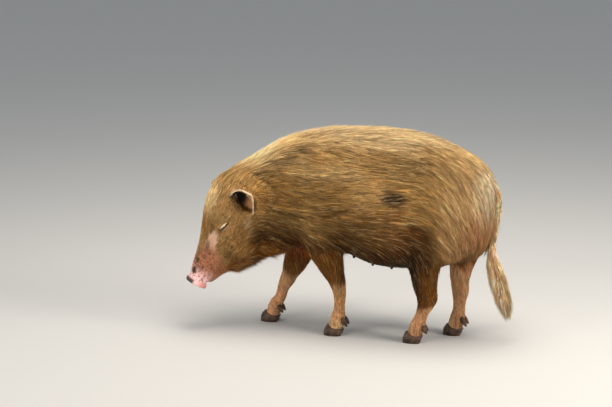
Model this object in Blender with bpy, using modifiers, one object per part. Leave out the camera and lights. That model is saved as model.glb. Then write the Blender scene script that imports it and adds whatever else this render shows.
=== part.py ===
# A domestic pig of the small, bristly village kind, standing with its head lowered to the left.
# It is built at life size, in metres: +Z is up, the floor is z = 0, the pig faces -X and its
# left side is towards -Y. The origin is under the middle of its bounding box.
import math
import random

import bmesh
import bpy
from mathutils import Matrix, Vector
from mathutils.bvhtree import BVHTree

# The gap that every cut leaves between two touching nodes.
GAP = 0.0003

# How far ears, tail and dewclaws stand off the skin they are set on.
CLEAR = 0.0006

# Head: the snout disc's middle, its pitch below level and its turn to the left.
SNOUT = Vector((-0.443, -0.120, 0.155))
HEAD_PITCH = math.radians(62)
HEAD_TURN = math.radians(28)

# Surface detail of the flesh.
VOXEL = 0.0052
SMOOTHING = 7
FLESH_TRIANGLES = 3300

# Trunk and neck from the rump to the nape. Each row is the station's place x, y, z, its height
# above and below that place, its half width, the pitch of its plane and its turn, in degrees.
TRUNK = [
    (0.481, 0.000, 0.430, 0.048, 0.060, 0.045, 0, 0),
    (0.463, 0.000, 0.420, 0.102, 0.115, 0.098, 0, 0),
    (0.422, 0.000, 0.408, 0.160, 0.150, 0.136, 0, 0),
    (0.345, 0.000, 0.400, 0.207, 0.160, 0.155, 0, 0),
    (0.240, 0.000, 0.395, 0.243, 0.172, 0.168, 0, 0),
    (0.120, 0.000, 0.385, 0.264, 0.158, 0.173, 0, 0),
    (0.030, 0.000, 0.395, 0.251, 0.140, 0.161, 0, 0),
    (-0.060, 0.000, 0.410, 0.224, 0.166, 0.145, 2, 0),
    (-0.140, -0.002, 0.420, 0.194, 0.160, 0.131, 8, 2),
    (-0.205, -0.012, 0.413, 0.158, 0.158, 0.113, 18, 8),
    (-0.262, -0.030, 0.403, 0.140, 0.160, 0.100, 28, 16),
    (-0.305, -0.048, 0.393, 0.124, 0.190, 0.090, 38, 24),
]

# The cleft between the buttocks, under the tail: its middle and half sizes.
CLEFT = ((0.482, 0.000, 0.345), (0.040, 0.013, 0.090))

# Head stations from the snout to the occiput, in the head's own frame: distance behind the
# disc, height of the bridge above the axis, depth below it, half width, and the level of the
# greatest width.
HEAD = [
    (0.004, 0.031, 0.028, 0.034, 0.000),
    (0.022, 0.034, 0.026, 0.031, 0.000),
    (0.045, 0.039, 0.029, 0.033, -0.004),
    (0.080, 0.045, 0.036, 0.042, -0.008),
    (0.121, 0.053, 0.058, 0.058, -0.014),
    (0.165, 0.068, 0.098, 0.076, -0.020),
    (0.204, 0.083, 0.128, 0.086, -0.024),
    (0.240, 0.094, 0.146, 0.090, -0.028),
    (0.272, 0.100, 0.156, 0.090, -0.028),
    (0.315, 0.097, 0.152, 0.084, -0.020),
    (0.345, 0.090, 0.142, 0.076, -0.010),
]

# Lower jaw, in the same frame: distance behind the disc, level, half depth and half width.
JAW = [
    (0.016, -0.031, 0.011, 0.017),
    (0.030, -0.035, 0.014, 0.024),
    (0.055, -0.039, 0.022, 0.031),
    (0.085, -0.048, 0.034, 0.041),
    (0.120, -0.064, 0.044, 0.054),
    (0.160, -0.086, 0.052, 0.063),
    (0.200, -0.104, 0.054, 0.066),
    (0.235, -0.115, 0.050, 0.062),
]

# Legs from the inside of the body to the pastern. Each row is the place x, y, z, the half
# length fore and aft and the half width across.
LEGS = {
    "foreleg_left": [
        (-0.060, -0.085, 0.400, 0.075, 0.050),
        (-0.052, -0.092, 0.335, 0.070, 0.052),
        (-0.034, -0.088, 0.270, 0.057, 0.045),
        (-0.026, -0.080, 0.240, 0.048, 0.039),
        (-0.012, -0.071, 0.200, 0.034, 0.031),
        (-0.001, -0.064, 0.170, 0.025, 0.026),
        (0.005, -0.060, 0.142, 0.021, 0.022),
        (0.006, -0.058, 0.110, 0.018, 0.019),
        (0.004, -0.058, 0.082, 0.018, 0.020),
        (0.000, -0.058, 0.058, 0.023, 0.026),
        (-0.008, -0.058, 0.018, 0.024, 0.026),
    ],
    "foreleg_right": [
        (-0.090, 0.085, 0.400, 0.075, 0.050),
        (-0.118, 0.090, 0.335, 0.070, 0.052),
        (-0.140, 0.082, 0.270, 0.060, 0.045),
        (-0.162, 0.070, 0.217, 0.046, 0.036),
        (-0.182, 0.058, 0.165, 0.033, 0.028),
        (-0.197, 0.050, 0.135, 0.026, 0.023),
        (-0.209, 0.047, 0.106, 0.020, 0.020),
        (-0.220, 0.045, 0.080, 0.020, 0.021),
        (-0.233, 0.044, 0.057, 0.023, 0.026),
        (-0.245, 0.044, 0.018, 0.024, 0.026),
    ],
    "hindleg_left": [
        (0.345, -0.080, 0.430, 0.105, 0.055),
        (0.318, -0.095, 0.350, 0.108, 0.060),
        (0.275, -0.094, 0.300, 0.086, 0.053),
        (0.279, -0.087, 0.252, 0.053, 0.044),
        (0.278, -0.081, 0.215, 0.042, 0.036),
        (0.280, -0.076, 0.172, 0.035, 0.029),
        (0.288, -0.073, 0.142, 0.033, 0.025),
        (0.282, -0.072, 0.115, 0.026, 0.022),
        (0.268, -0.071, 0.085, 0.020, 0.020),
        (0.258, -0.070, 0.058, 0.024, 0.026),
        (0.247, -0.070, 0.018, 0.024, 0.026),
    ],
    "hindleg_right": [
        (0.350, 0.080, 0.430, 0.105, 0.055),
        (0.362, 0.092, 0.350, 0.102, 0.060),
        (0.372, 0.086, 0.290, 0.066, 0.051),
        (0.369, 0.074, 0.240, 0.044, 0.040),
        (0.363, 0.064, 0.205, 0.034, 0.032),
        (0.362, 0.057, 0.168, 0.027, 0.026),
        (0.366, 0.053, 0.136, 0.027, 0.024),
        (0.364, 0.051, 0.112, 0.021, 0.021),
        (0.363, 0.050, 0.082, 0.019, 0.020),
        (0.358, 0.050, 0.056, 0.024, 0.026),
        (0.350, 0.050, 0.018, 0.024, 0.026),
    ],
}

# Muscles under the skin: middle, half sizes, and the pitch of the long axis in degrees.
MUSCLES = [
    ((-0.070, -0.094, 0.400), (0.062, 0.055, 0.115), -12),
    ((-0.088, 0.094, 0.400), (0.062, 0.055, 0.115), -8),
    ((0.345, -0.085, 0.385), (0.105, 0.074, 0.135), 12),
    ((0.355, 0.085, 0.385), (0.100, 0.074, 0.135), 4),
    ((0.222, -0.112, 0.318), (0.056, 0.046, 0.066), 20),
    ((0.262, 0.112, 0.318), (0.056, 0.046, 0.066), 20),
    ((-0.215, -0.040, 0.305), (0.085, 0.060, 0.064), 4),
]

# Swellings of the head, in its frame: behind the disc, above the axis, to the side, half sizes.
HEAD_LUMPS = [
    (0.226, 0.046, 0.046, 0.046, 0.022, 0.026),
    (0.190, -0.055, 0.060, 0.060, 0.048, 0.030),
    (0.120, -0.008, 0.040, 0.045, 0.018, 0.018),
]

# Snout disc: half width, half height, thickness, and the nostrils' place and half sizes.
DISC = (0.039, 0.034, 0.013)
NOSTRIL = (0.0155, 0.001, 0.0055, 0.0090)

# Mouth line in the head's frame: behind the disc and above the axis. It is cut from both sides.
MOUTH = [(-0.010, -0.0300), (0.020, -0.0285), (0.050, -0.0315), (0.078, -0.0330)]
MOUTH_OPEN = 0.0016
MOUTH_DEPTH = 0.012

# Eyes: place behind the disc and above the axis, ball radius, lid thickness, the slit's tilt,
# its half length and half height.
EYE = (0.200, 0.023)
EYE_RADIUS = 0.0125
LID = 0.0024
SLIT_TILT = math.radians(-22)
SLIT = (0.0115, 0.0019)

# Ears, in the head's frame: where the front and the rear margin leave the head, the tip, and
# how deep the cup is. The left ear points out to the side, the right one stands up. The shape
# gives the leaf's width from its root to its tip, the bow its lean to the front margin.
EARS = {
    "ear_left": ((0.305, 0.046, -0.072), (0.276, -0.043, -0.084), (0.344, 0.012, -0.163), 0.029),
    "ear_right": ((0.304, 0.060, 0.064), (0.276, -0.030, 0.080), (0.292, 0.060, 0.156), 0.026),
}
EAR_SHAPE = [1.00, 0.96, 0.84, 0.69, 0.50, 0.28, 0.07]
EAR_BOW = 0.64
EAR_THICKNESS = 0.0042
EAR_HOLLOW = (0.040, 0.022, 0.036)

# Tail: x, y, z and radius from inside the rump to the tip.
TAIL = [
    (0.430, 0.000, 0.500, 0.023),
    (0.466, -0.001, 0.484, 0.022),
    (0.484, -0.003, 0.440, 0.017),
    (0.485, -0.006, 0.390, 0.012),
    (0.476, -0.009, 0.330, 0.0085),
    (0.472, -0.010, 0.285, 0.0075),
    (0.480, -0.010, 0.245, 0.0070),
    (0.496, -0.010, 0.195, 0.0060),
    (0.508, -0.010, 0.145, 0.0050),
    (0.516, -0.010, 0.105, 0.0035),
]

# Claws: each foot's middle under the pastern and its turn to the left in degrees, the half
# width, length and height of a claw, and the space between the two.
FEET = {
    "foreleg_left": (-0.014, -0.058, 4),
    "foreleg_right": (-0.252, 0.044, 2),
    "hindleg_left": (0.241, -0.070, 6),
    "hindleg_right": (0.344, 0.050, 0),
}
CLAW_WIDTH = 0.0130
CLAW_LENGTH = 0.056
CLAW_HEIGHT = 0.034
CLAW_SPACE = 0.0022
CORONET_SLOPE = math.radians(20)

# Locks of the coat: length, half width, half thickness and how far the tip stands off the skin.
SEED = 7
BODY_LOCK = (0.094, 0.0165, 0.0036, 0.0095)
CREST_LOCK = (0.092, 0.0135, 0.0040, 0.0170)
FACE_LOCK = (0.046, 0.0075, 0.0024, 0.0050)
BEARD_LOCK = (0.046, 0.0080, 0.0026, 0.0180)
LEG_LOCK = (0.056, 0.0105, 0.0028, 0.0055)
TAIL_LOCK = (0.080, 0.0125, 0.0034, 0.0110)


def clear_scene():
    for obj in list(bpy.data.objects):
        bpy.data.objects.remove(obj)


def collection(name, hidden=False):
    made = bpy.data.collections.new(name)
    made.hide_render = hidden
    bpy.context.scene.collection.children.link(made)
    return made


def material(name, rgb, roughness):
    made = bpy.data.materials.new(name)
    made.use_nodes = True
    shader = made.node_tree.nodes["Principled BSDF"]
    shader.inputs["Base Color"].default_value = (*rgb, 1)
    shader.inputs["Roughness"].default_value = roughness
    shader.inputs["Metallic"].default_value = 0
    made.diffuse_color = (*rgb, 1)
    return made


def object_from(bm, name, group):
    """A new object from a bmesh, with its normals outwards."""
    bmesh.ops.recalc_face_normals(bm, faces=bm.faces)
    mesh = bpy.data.meshes.new(name)
    bm.to_mesh(mesh)
    bm.free()
    made = bpy.data.objects.new(name, mesh)
    group.objects.link(made)
    return made


def evaluated(obj):
    """Applies the object's modifiers to its own mesh."""
    bpy.context.view_layer.update()
    graph = bpy.context.evaluated_depsgraph_get()
    mesh = bpy.data.meshes.new_from_object(obj.evaluated_get(graph))
    obj.modifiers.clear()
    old = obj.data
    obj.data = mesh
    bpy.data.meshes.remove(old)
    return obj


def between(rows, steps):
    """Rows on a smooth curve through the given rows, with a number of steps in each stretch."""
    last = len(rows) - 1
    found = []
    for i in range(last):
        a, b, c, d = (rows[min(max(i + k, 0), last)] for k in (-1, 0, 1, 2))
        for step in range(steps):
            t = step / steps
            found.append(
                [
                    q + t * (r - p) / 2 + t * t * (p - 2.5 * q + 2 * r - s / 2)
                    + t ** 3 * (1.5 * (q - r) + (s - p) / 2)
                    for p, q, r, s in zip(a, b, c, d)
                ]
            )
    found.append(list(rows[last]))
    return found


def ring(bm, centre, across, upward, wide, high, low, square=2.2, around=28):
    """One closed outline: an oval with its own height above and below its widest level."""
    made = bmesh.ops.create_circle(bm, segments=around, radius=1)["verts"]
    power = 2 / square
    for i, vert in enumerate(made):
        angle = 2 * math.pi * i / around
        c, s = math.cos(angle), math.sin(angle)
        side = wide * math.copysign(abs(c) ** power, c)
        rise = (high if s > 0 else low) * math.copysign(abs(s) ** power, s)
        vert.co = centre + across * side + upward * rise
    return made


def tube(bm, rings):
    """Joins the outlines one after the other and closes both ends."""
    for first, second in zip(rings, rings[1:]):
        edges = {e for v in first + second for e in v.link_edges}
        both = set(first) | set(second)
        loops = [e for e in edges if all(v in both for v in e.verts)]
        loops = [
            e for e in loops
            if (e.verts[0] in first) == (e.verts[1] in first)
        ]
        bmesh.ops.bridge_loops(bm, edges=loops)
    for end in (rings[0], rings[-1]):
        bmesh.ops.contextual_create(bm, geom=end)


def turned(pitch, turn):
    """Across, upward and forward directions of a station with that pitch and turn to the left."""
    turn_matrix = Matrix.Rotation(turn, 3, "Z")
    forward = turn_matrix @ Vector((-math.cos(pitch), 0, -math.sin(pitch)))
    upward = turn_matrix @ Vector((-math.sin(pitch), 0, math.cos(pitch)))
    across = turn_matrix @ Vector((0, 1, 0))
    return across, upward, forward


RIGHTWARD, CROWNWARD, SNOUTWARD = turned(HEAD_PITCH, HEAD_TURN)


def on_head(back, rise, side=0.0):
    """A point given as the distance behind the snout disc, above the axis and to the right."""
    return SNOUT - SNOUTWARD * back + CROWNWARD * rise + RIGHTWARD * side


def trunk(group):
    bm = bmesh.new()
    rings = []
    for x, y, z, high, low, wide, pitch, turn in between(TRUNK, 3):
        across, upward, _ = turned(math.radians(pitch), math.radians(turn))
        rings.append(ring(bm, Vector((x, y, z)), across, upward, wide, high, low))
    tube(bm, rings)
    centre, sizes = CLEFT
    cleft = lump("cleft", Vector(centre), sizes, Matrix.Identity(3), group)
    return boolean(object_from(bm, "trunk", group), cleft, "DIFFERENCE")


def skull(group):
    bm = bmesh.new()
    rings = [
        ring(bm, on_head(back, level), RIGHTWARD, CROWNWARD, wide, high - level, low + level, 2.1)
        for back, high, low, wide, level in between(HEAD, 3)
    ]
    tube(bm, rings)
    return object_from(bm, "skull", group)


def jaw(group):
    bm = bmesh.new()
    rings = [
        ring(bm, on_head(back, level), RIGHTWARD, CROWNWARD, wide, deep, deep, 2.3, 20)
        for back, level, deep, wide in between(JAW, 2)
    ]
    tube(bm, rings)
    return object_from(bm, "jaw", group)


def leg(name, group):
    bm = bmesh.new()
    rings = [
        ring(bm, Vector((x, y, z)), Vector((0, 1, 0)), Vector((1, 0, 0)), wide, long, long, 2, 20)
        for x, y, z, long, wide in between(LEGS[name], 2)
    ]
    tube(bm, rings)
    return object_from(bm, name, group)


def lump(name, centre, sizes, turn, group, around=16):
    """An ellipsoid for a muscle or a cheek."""
    bm = bmesh.new()
    bmesh.ops.create_uvsphere(bm, u_segments=around, v_segments=around * 3 // 4, radius=1)
    place = Matrix.Translation(centre) @ turn.to_4x4() @ Matrix.Diagonal((*sizes, 1))
    bmesh.ops.transform(bm, matrix=place, verts=bm.verts)
    return object_from(bm, name, group)


def joined(pieces, name):
    """All the pieces' meshes in one object, still overlapping."""
    bm = bmesh.new()
    for piece in pieces:
        bm.from_mesh(piece.data)
    mesh = bpy.data.meshes.new(name)
    bm.to_mesh(mesh)
    bm.free()
    made = bpy.data.objects.new(name, mesh)
    pieces[0].users_collection[0].objects.link(made)
    for piece in pieces:
        bpy.data.objects.remove(piece)
    return made


def blended(obj, voxel, smoothing, triangles):
    """One smooth closed skin round overlapping shapes."""
    remesh = obj.modifiers.new("One skin", "REMESH")
    remesh.mode = "VOXEL"
    remesh.voxel_size = voxel
    smooth = obj.modifiers.new("Smooth", "SMOOTH")
    smooth.factor = 0.5
    smooth.iterations = smoothing
    evaluated(obj)
    faces = 2 * len(obj.data.polygons)
    if triangles < faces:
        decimate = obj.modifiers.new("Fewer faces", "DECIMATE")
        decimate.ratio = triangles / faces
        evaluated(obj)
    return obj


def flesh(group):
    pieces = [trunk(group), skull(group), jaw(group)]
    pieces += [leg(name, group) for name in LEGS]
    for i, (centre, sizes, lean) in enumerate(MUSCLES):
        turn = Matrix.Rotation(math.radians(lean), 3, "Y")
        pieces.append(lump(f"muscle_{i}", Vector(centre), sizes, turn, group))
    for side in (-1, 1):
        for back, rise, out, long, wide, deep in HEAD_LUMPS:
            centre = on_head(back, rise, side * out)
            pieces.append(lump("swelling", centre, (long, deep, wide), HEAD_AXES, group))
    return blended(joined(pieces, "flesh"), VOXEL, SMOOTHING, FLESH_TRIANGLES)


def boolean(obj, other, operation):
    """Cuts, keeps or adds the other object's volume, and removes that object."""
    modifier = obj.modifiers.new("Cut", "BOOLEAN")
    modifier.operation = operation
    modifier.object = other
    modifier.solver = "MANIFOLD"
    evaluated(obj)
    bpy.data.objects.remove(other)
    return obj


def fused(obj, pieces, name):
    """Adds all the closed pieces to the object in one union."""
    group = collection(name, hidden=True)
    for piece in pieces:
        for owner in list(piece.users_collection):
            owner.objects.unlink(piece)
        group.objects.link(piece)
    modifier = obj.modifiers.new("Union", "BOOLEAN")
    modifier.operation = "UNION"
    modifier.operand_type = "COLLECTION"
    modifier.collection = group
    modifier.solver = "MANIFOLD"
    evaluated(obj)
    for piece in list(group.objects):
        bpy.data.objects.remove(piece)
    bpy.data.collections.remove(group)
    return obj


def copy_of(obj, name, group):
    made = bpy.data.objects.new(name, obj.data.copy())
    group.objects.link(made)
    return made


def grown(obj, name, group, by):
    """A copy of the object, larger by the given distance on every side."""
    made = copy_of(obj, name, group)
    displace = made.modifiers.new("Larger", "DISPLACE")
    displace.strength = by
    displace.mid_level = 0
    return evaluated(made)


def region(name, planes, group):
    """A convex space: each plane is a point on it and its outward direction."""
    bm = bmesh.new()
    bmesh.ops.create_cube(bm, size=3)
    for point, outward in planes:
        bmesh.ops.bisect_plane(
            bm,
            geom=bm.verts[:] + bm.edges[:] + bm.faces[:],
            plane_co=point,
            plane_no=outward,
            clear_outer=True,
        )
        bmesh.ops.holes_fill(bm, edges=bm.edges, sides=0)
    return object_from(bm, name, group)


def triangulated(obj):
    """The object's mesh in triangles, none of which shares an edge with more than one other."""
    crossed = set()
    for _ in range(3):
        bm = bmesh.new()
        bm.from_mesh(obj.data)
        bm.verts.ensure_lookup_table()
        shared = set()
        for pair in crossed:
            first, second = (bm.verts[i] for i in pair)
            both = set(first.link_faces) & set(second.link_faces)
            shared |= {f for f in both if len(f.verts) > 3}
        bmesh.ops.poke(bm, faces=list(shared))
        bmesh.ops.triangulate(bm, faces=bm.faces)
        bad = [e for e in bm.edges if len(e.link_faces) != 2]
        if not bad:
            break
        crossed |= {tuple(v.index for v in e.verts) for e in bad}
        if _ < 2:
            bm.free()
    return bm


def largest_only(obj):
    """Keeps the largest closed surface and drops chips and hollows."""
    bm = triangulated(obj)
    bm.faces.ensure_lookup_table()
    bm.faces.index_update()
    seen = set()
    islands = []
    for start in bm.faces:
        if start.index in seen:
            continue
        island = []
        queue = [start]
        seen.add(start.index)
        while queue:
            face = queue.pop()
            island.append(face)
            for edge in face.edges:
                for other in edge.link_faces:
                    if other.index not in seen:
                        seen.add(other.index)
                        queue.append(other)
        islands.append(island)
    islands.sort(key=lambda faces: abs(sum(
        f.verts[0].co.dot(f.verts[1].co.cross(f.verts[2].co)) for f in faces
    )))
    spare = [f for island in islands[:-1] for f in island]
    bmesh.ops.delete(bm, geom=spare, context="FACES")
    bm.to_mesh(obj.data)
    bm.free()
    return obj


def surface_of(obj):
    """A search tree of the object's faces."""
    bm = bmesh.new()
    bm.from_mesh(obj.data)
    tree = BVHTree.FromBMesh(bm)
    bm.free()
    return tree


def snout_disc(group):
    wide, high, thick = DISC
    bm = bmesh.new()
    rows = [(0.010, 0.80), (0.004, 0.96), (-0.002, 1.00), (-0.006, 0.97), (-0.008, 0.86)]
    rings = [
        ring(bm, on_head(back, 0.001), RIGHTWARD, CROWNWARD, wide * s, high * s, high * s, 2.2, 24)
        for back, s in rows
    ]
    tube(bm, rings)
    return object_from(bm, "snout_disc", group)


def nostril(side, group):
    """A slanting oval hole that narrows inwards."""
    out, rise, wide, high = NOSTRIL
    bm = bmesh.new()
    rings = [
        ring(bm, on_head(back, rise, side * (out - 0.2 * max(back, 0))), RIGHTWARD, CROWNWARD,
             wide * s, high * s, high * s, 2, 12)
        for back, s in [(-0.016, 1.15), (-0.006, 1.0), (0.003, 0.8), (0.009, 0.45)]
    ]
    tube(bm, rings)
    return object_from(bm, "nostril", group)


def mouth(side, group):
    """A thin wedge along the mouth line, open to one side."""
    bm = bmesh.new()
    rings = []
    for i, (back, rise) in enumerate(MOUTH):
        half = MOUTH_OPEN / 2 * (1 if i < len(MOUTH) - 1 else 0.5)
        inner = 0.004 if i == 0 else 0.026 - MOUTH_DEPTH + 0.004 * i
        corners = [(0.075, half), (inner, half), (inner, -half), (0.075, -half)]
        rings.append([bm.verts.new(on_head(back, rise + up, side * out)) for out, up in corners])
    tube_faces(bm, rings)
    return object_from(bm, "mouth", group)


def tube_faces(bm, rings):
    """Quads between outlines that have the same number of corners, and a face at each end."""
    for first, second in zip(rings, rings[1:]):
        count = len(first)
        for i in range(count):
            j = (i + 1) % count
            bm.faces.new((first[i], first[j], second[j], second[i]))
    bm.faces.new(list(reversed(rings[0])))
    bm.faces.new(rings[-1])


def sphere(name, centre, radius, group, segments=12):
    bm = bmesh.new()
    bmesh.ops.create_uvsphere(bm, u_segments=segments, v_segments=segments * 2 // 3, radius=radius)
    bmesh.ops.translate(bm, vec=centre, verts=bm.verts)
    return object_from(bm, name, group)


def eye_centre(body, side):
    """Just under the face's surface at the eye's place."""
    start = on_head(EYE[0], EYE[1], side * 0.3)
    hit, _, _, _ = body.ray_cast(start, -side * RIGHTWARD)
    return hit - side * RIGHTWARD * (EYE_RADIUS - 0.0022)


def slit(centre, side, group):
    """The narrow opening between the lids, a thin ellipsoid through the lid."""
    long, high = SLIT
    tilt = Matrix.Rotation(side * SLIT_TILT, 3, RIGHTWARD)
    return lump("slit", centre + side * RIGHTWARD * EYE_RADIUS, (long, 0.010, high),
                tilt @ HEAD_AXES, group)


def ear_axes(name):
    """The ear's root, its axis, half of its root's width and the way its cup faces."""
    front, rear, tip, _ = EARS[name]
    first, last, end = on_head(*front), on_head(*rear), on_head(*tip)
    root = (first + last) / 2
    half = (first - last) / 2
    axis = end - root
    open_way = axis.cross(half).normalized()
    if open_way.dot(SNOUTWARD) < 0:
        open_way = -open_way
    return root, axis, half, open_way


def ear_hollow(name, group):
    """The hollow at the ear's root, which opens into the cup."""
    root, axis, half, open_way = ear_axes(name)
    inward = half.cross(open_way).normalized()
    axes = Matrix((half.normalized(), open_way, inward)).transposed()
    return lump("hollow", root + axis * 0.08 - open_way * 0.006, EAR_HOLLOW, axes, group, 10)


def ear(name, group):
    """A cupped leaf between its two margins, thickened to both sides."""
    cup = EARS[name][3]
    root, axis, half, open_way = ear_axes(name)
    rows, columns = len(EAR_SHAPE), 9
    bend = 1.35
    bm = bmesh.new()
    grid = []
    for i, size in enumerate(EAR_SHAPE):
        along = i / (rows - 1)
        line = []
        for j in range(columns):
            v = bend * (2 * j / (columns - 1) - 1)
            side = half * (size * math.sin(v) / math.sin(bend) + EAR_BOW * along * (1 - along))
            hollow = (math.cos(v) - math.cos(bend)) / (1 - math.cos(bend)) * (1 - 0.3 * along)
            depth = open_way * (0.010 * along ** 3 - cup * size * hollow)
            line.append(bm.verts.new(root + axis * (along * 1.12 - 0.12) + side + depth))
        grid.append(line)
    for first, second in zip(grid, grid[1:]):
        for j in range(columns - 1):
            bm.faces.new((first[j], first[j + 1], second[j + 1], second[j]))
    made = object_from(bm, name, group)
    solid = made.modifiers.new("Thickness", "SOLIDIFY")
    solid.thickness = EAR_THICKNESS
    solid.offset = 0
    return evaluated(made)


def tail(group):
    bm = bmesh.new()
    rings = []
    for x, y, z, radius in TAIL:
        rings.append(
            ring(bm, Vector((x, y, z)), Vector((0, 1, 0)), Vector((0.9, 0, 0.35)),
                 radius, radius, radius, 2, 8)
        )
    tube(bm, rings)
    return object_from(bm, "tail", group)


def claw(name, centre_x, centre_y, side, turn, group):
    """One main claw: a flat sole, a pointed front and a sloping top under the coronet."""
    bm = bmesh.new()
    rings = []
    slope = math.tan(CORONET_SLOPE)
    for level, size, back in [(0, 0.98, 0), (0.45, 1.0, 0.002), (0.82, 0.94, 0.006), (1, 0.80, 0.011)]:
        made = bmesh.ops.create_circle(bm, segments=14, radius=1)["verts"]
        for i, vert in enumerate(made):
            angle = 2 * math.pi * i / 14
            c, s = math.cos(angle), math.sin(angle)
            front = max(-c, 0)
            x = CLAW_LENGTH / 2 * size * c * (1.08 if c < 0 else 0.92) + back
            y = CLAW_WIDTH * size * math.copysign(abs(s) ** 0.75, s) * (1 - 0.25 * front ** 2)
            y -= side * 0.003 * front ** 2
            top = CLAW_HEIGHT * 0.82 - slope * x
            vert.co = (x, y + side * (CLAW_WIDTH + CLAW_SPACE / 2), level * top)
        rings.append(made)
    tube(bm, rings)
    matrix = Matrix.Translation((centre_x, centre_y, 0)) @ Matrix.Rotation(math.radians(turn), 4, "Z")
    bmesh.ops.transform(bm, matrix=matrix, verts=bm.verts)
    return object_from(bm, name, group)


def dewclaw(name, centre_x, centre_y, side, turn, group):
    """A small claw behind the pastern, pointing down and back."""
    bm = bmesh.new()
    rings = [
        ring(bm, Vector((x, side * y, z)), Vector((0, 1, 0)), Vector((0.80, 0, 0.60)),
             r * 0.85, r, r, 2, 8)
        for x, y, z, r in [
            (0.008, 0.010, 0.067, 0.0095), (0.024, 0.0130, 0.058, 0.0098),
            (0.037, 0.0150, 0.045, 0.0082), (0.046, 0.0160, 0.032, 0.0032),
        ]
    ]
    tube(bm, rings)
    matrix = Matrix.Translation((centre_x, centre_y, 0)) @ Matrix.Rotation(math.radians(turn), 4, "Z")
    bmesh.ops.transform(bm, matrix=matrix, verts=bm.verts)
    return object_from(bm, name, group)


HEAD_AXES = Matrix((-SNOUTWARD, RIGHTWARD, CROWNWARD)).transposed()


# Each region is a node and the planes round it; they are cut off the body in this order.
def node_regions(gap):
    """The spaces of the nodes that are parted from the torso, each larger by the gap."""
    limits = {
        "foreleg_left": [
            ((-0.030, -0.060, 0.262), (0, 0.6, 0.8)),
            ((-0.135, 0, 0), (-1, 0, 0)),
            ((0.080, 0, 0), (1, 0, 0)),
            ((0, -0.012, 0), (0, 1, 0)),
        ],
        "foreleg_right": [
            ((-0.140, 0.055, 0.250), (0, -0.6, 0.8)),
            ((-0.300, 0, 0), (-1, 0, 0)),
            ((-0.045, 0, 0), (1, 0, 0)),
            ((0, 0.012, 0), (0, -1, 0)),
        ],
        "hindleg_left": [
            ((0.290, -0.060, 0.275), (0, 0.6, 0.8)),
            ((0.205, 0, 0), (-1, 0, 0)),
            ((0, -0.012, 0), (0, 1, 0)),
        ],
        "hindleg_right": [
            ((0.370, 0.055, 0.280), (0, -0.6, 0.8)),
            ((0.285, 0, 0), (-1, 0, 0)),
            ((0, 0.012, 0), (0, -1, 0)),
        ],
        "head": [
            (on_head(0.340, 0.090), -SNOUTWARD * 0.848 - CROWNWARD * 0.530),
            ((-0.360, 0, 0.120), (0.539, 0, -0.842)),
        ],
        "neck": [((-0.185, 0, 0.420), (0.990, 0, 0.139))],
    }
    return {
        name: [
            (Vector(point) + Vector(out).normalized() * gap, Vector(out).normalized())
            for point, out in planes
        ]
        for name, planes in limits.items()
    }


def parted(body, group):
    """The body as separate nodes, with the gap between each two."""
    own = node_regions(0)
    wide = node_regions(GAP)
    nodes = {}
    for name in own:
        piece = boolean(copy_of(body, name, group), region("space", own[name], group), "INTERSECT")
        nodes[name] = largest_only(piece)
        boolean(body, region("space", wide[name], group), "DIFFERENCE")
    body.name = "torso"
    nodes["torso"] = largest_only(body)
    return nodes


def coronet_cut(name, group):
    """The space under a foot's coronet, a gap higher than the claws' tops."""
    x, y, turn = FEET[name]
    slope = math.tan(CORONET_SLOPE)
    top = Vector((math.sin(CORONET_SLOPE), 0, math.cos(CORONET_SLOPE)))
    matrix = Matrix.Rotation(math.radians(turn), 3, "Z")
    point = Vector((x, y, CLAW_HEIGHT * 0.82 + GAP * 1.2))
    sides = [(point, matrix @ top)]
    for sign in (-1, 1):
        sides.append((Vector((x + sign * 0.05, 0, 0)), Vector((sign, 0, 0))))
        sides.append((Vector((0, y + sign * 0.04, 0)), Vector((0, sign, 0))))
    return region("under", sides, group)


def centre_on_floor(objects):
    """Moves everything so that the origin is under the middle of the bounding box."""
    corners = [v.co for obj in objects for v in obj.data.vertices]
    middle = [(min(c[i] for c in corners) + max(c[i] for c in corners)) / 2 for i in (0, 1)]
    move = Matrix.Translation((-middle[0], -middle[1], 0))
    for obj in objects:
        obj.data.transform(move)


def ramp(value, low, high):
    """0 below the low value, 1 above the high one, and smooth between them."""
    t = min(max((value - low) / (high - low), 0), 1)
    return t * t * (3 - 2 * t)


def lie(place):
    """The direction in which the coat lies at a place on the body."""
    behind = -(place - SNOUT).dot(SNOUTWARD)
    heading = Vector((1, 0, -0.12))
    heading = heading.lerp(Vector((0.45, 0, -1)), ramp(place.x, 0.16, 0.42))
    heading = heading.lerp(Vector((0.15, 0, -1)), ramp(-place.z, -0.36, -0.25))
    crest = ramp(-place.x, 0.12, 0.30)
    heading = heading.lerp(Vector((0.85, 0.2, 0.25 * ramp(place.z, 0.40, 0.50))), crest)
    if place.x < -0.24:
        heading = heading.lerp(-SNOUTWARD, ramp(-behind, -0.40, -0.30))
    return heading.normalized()


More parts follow.
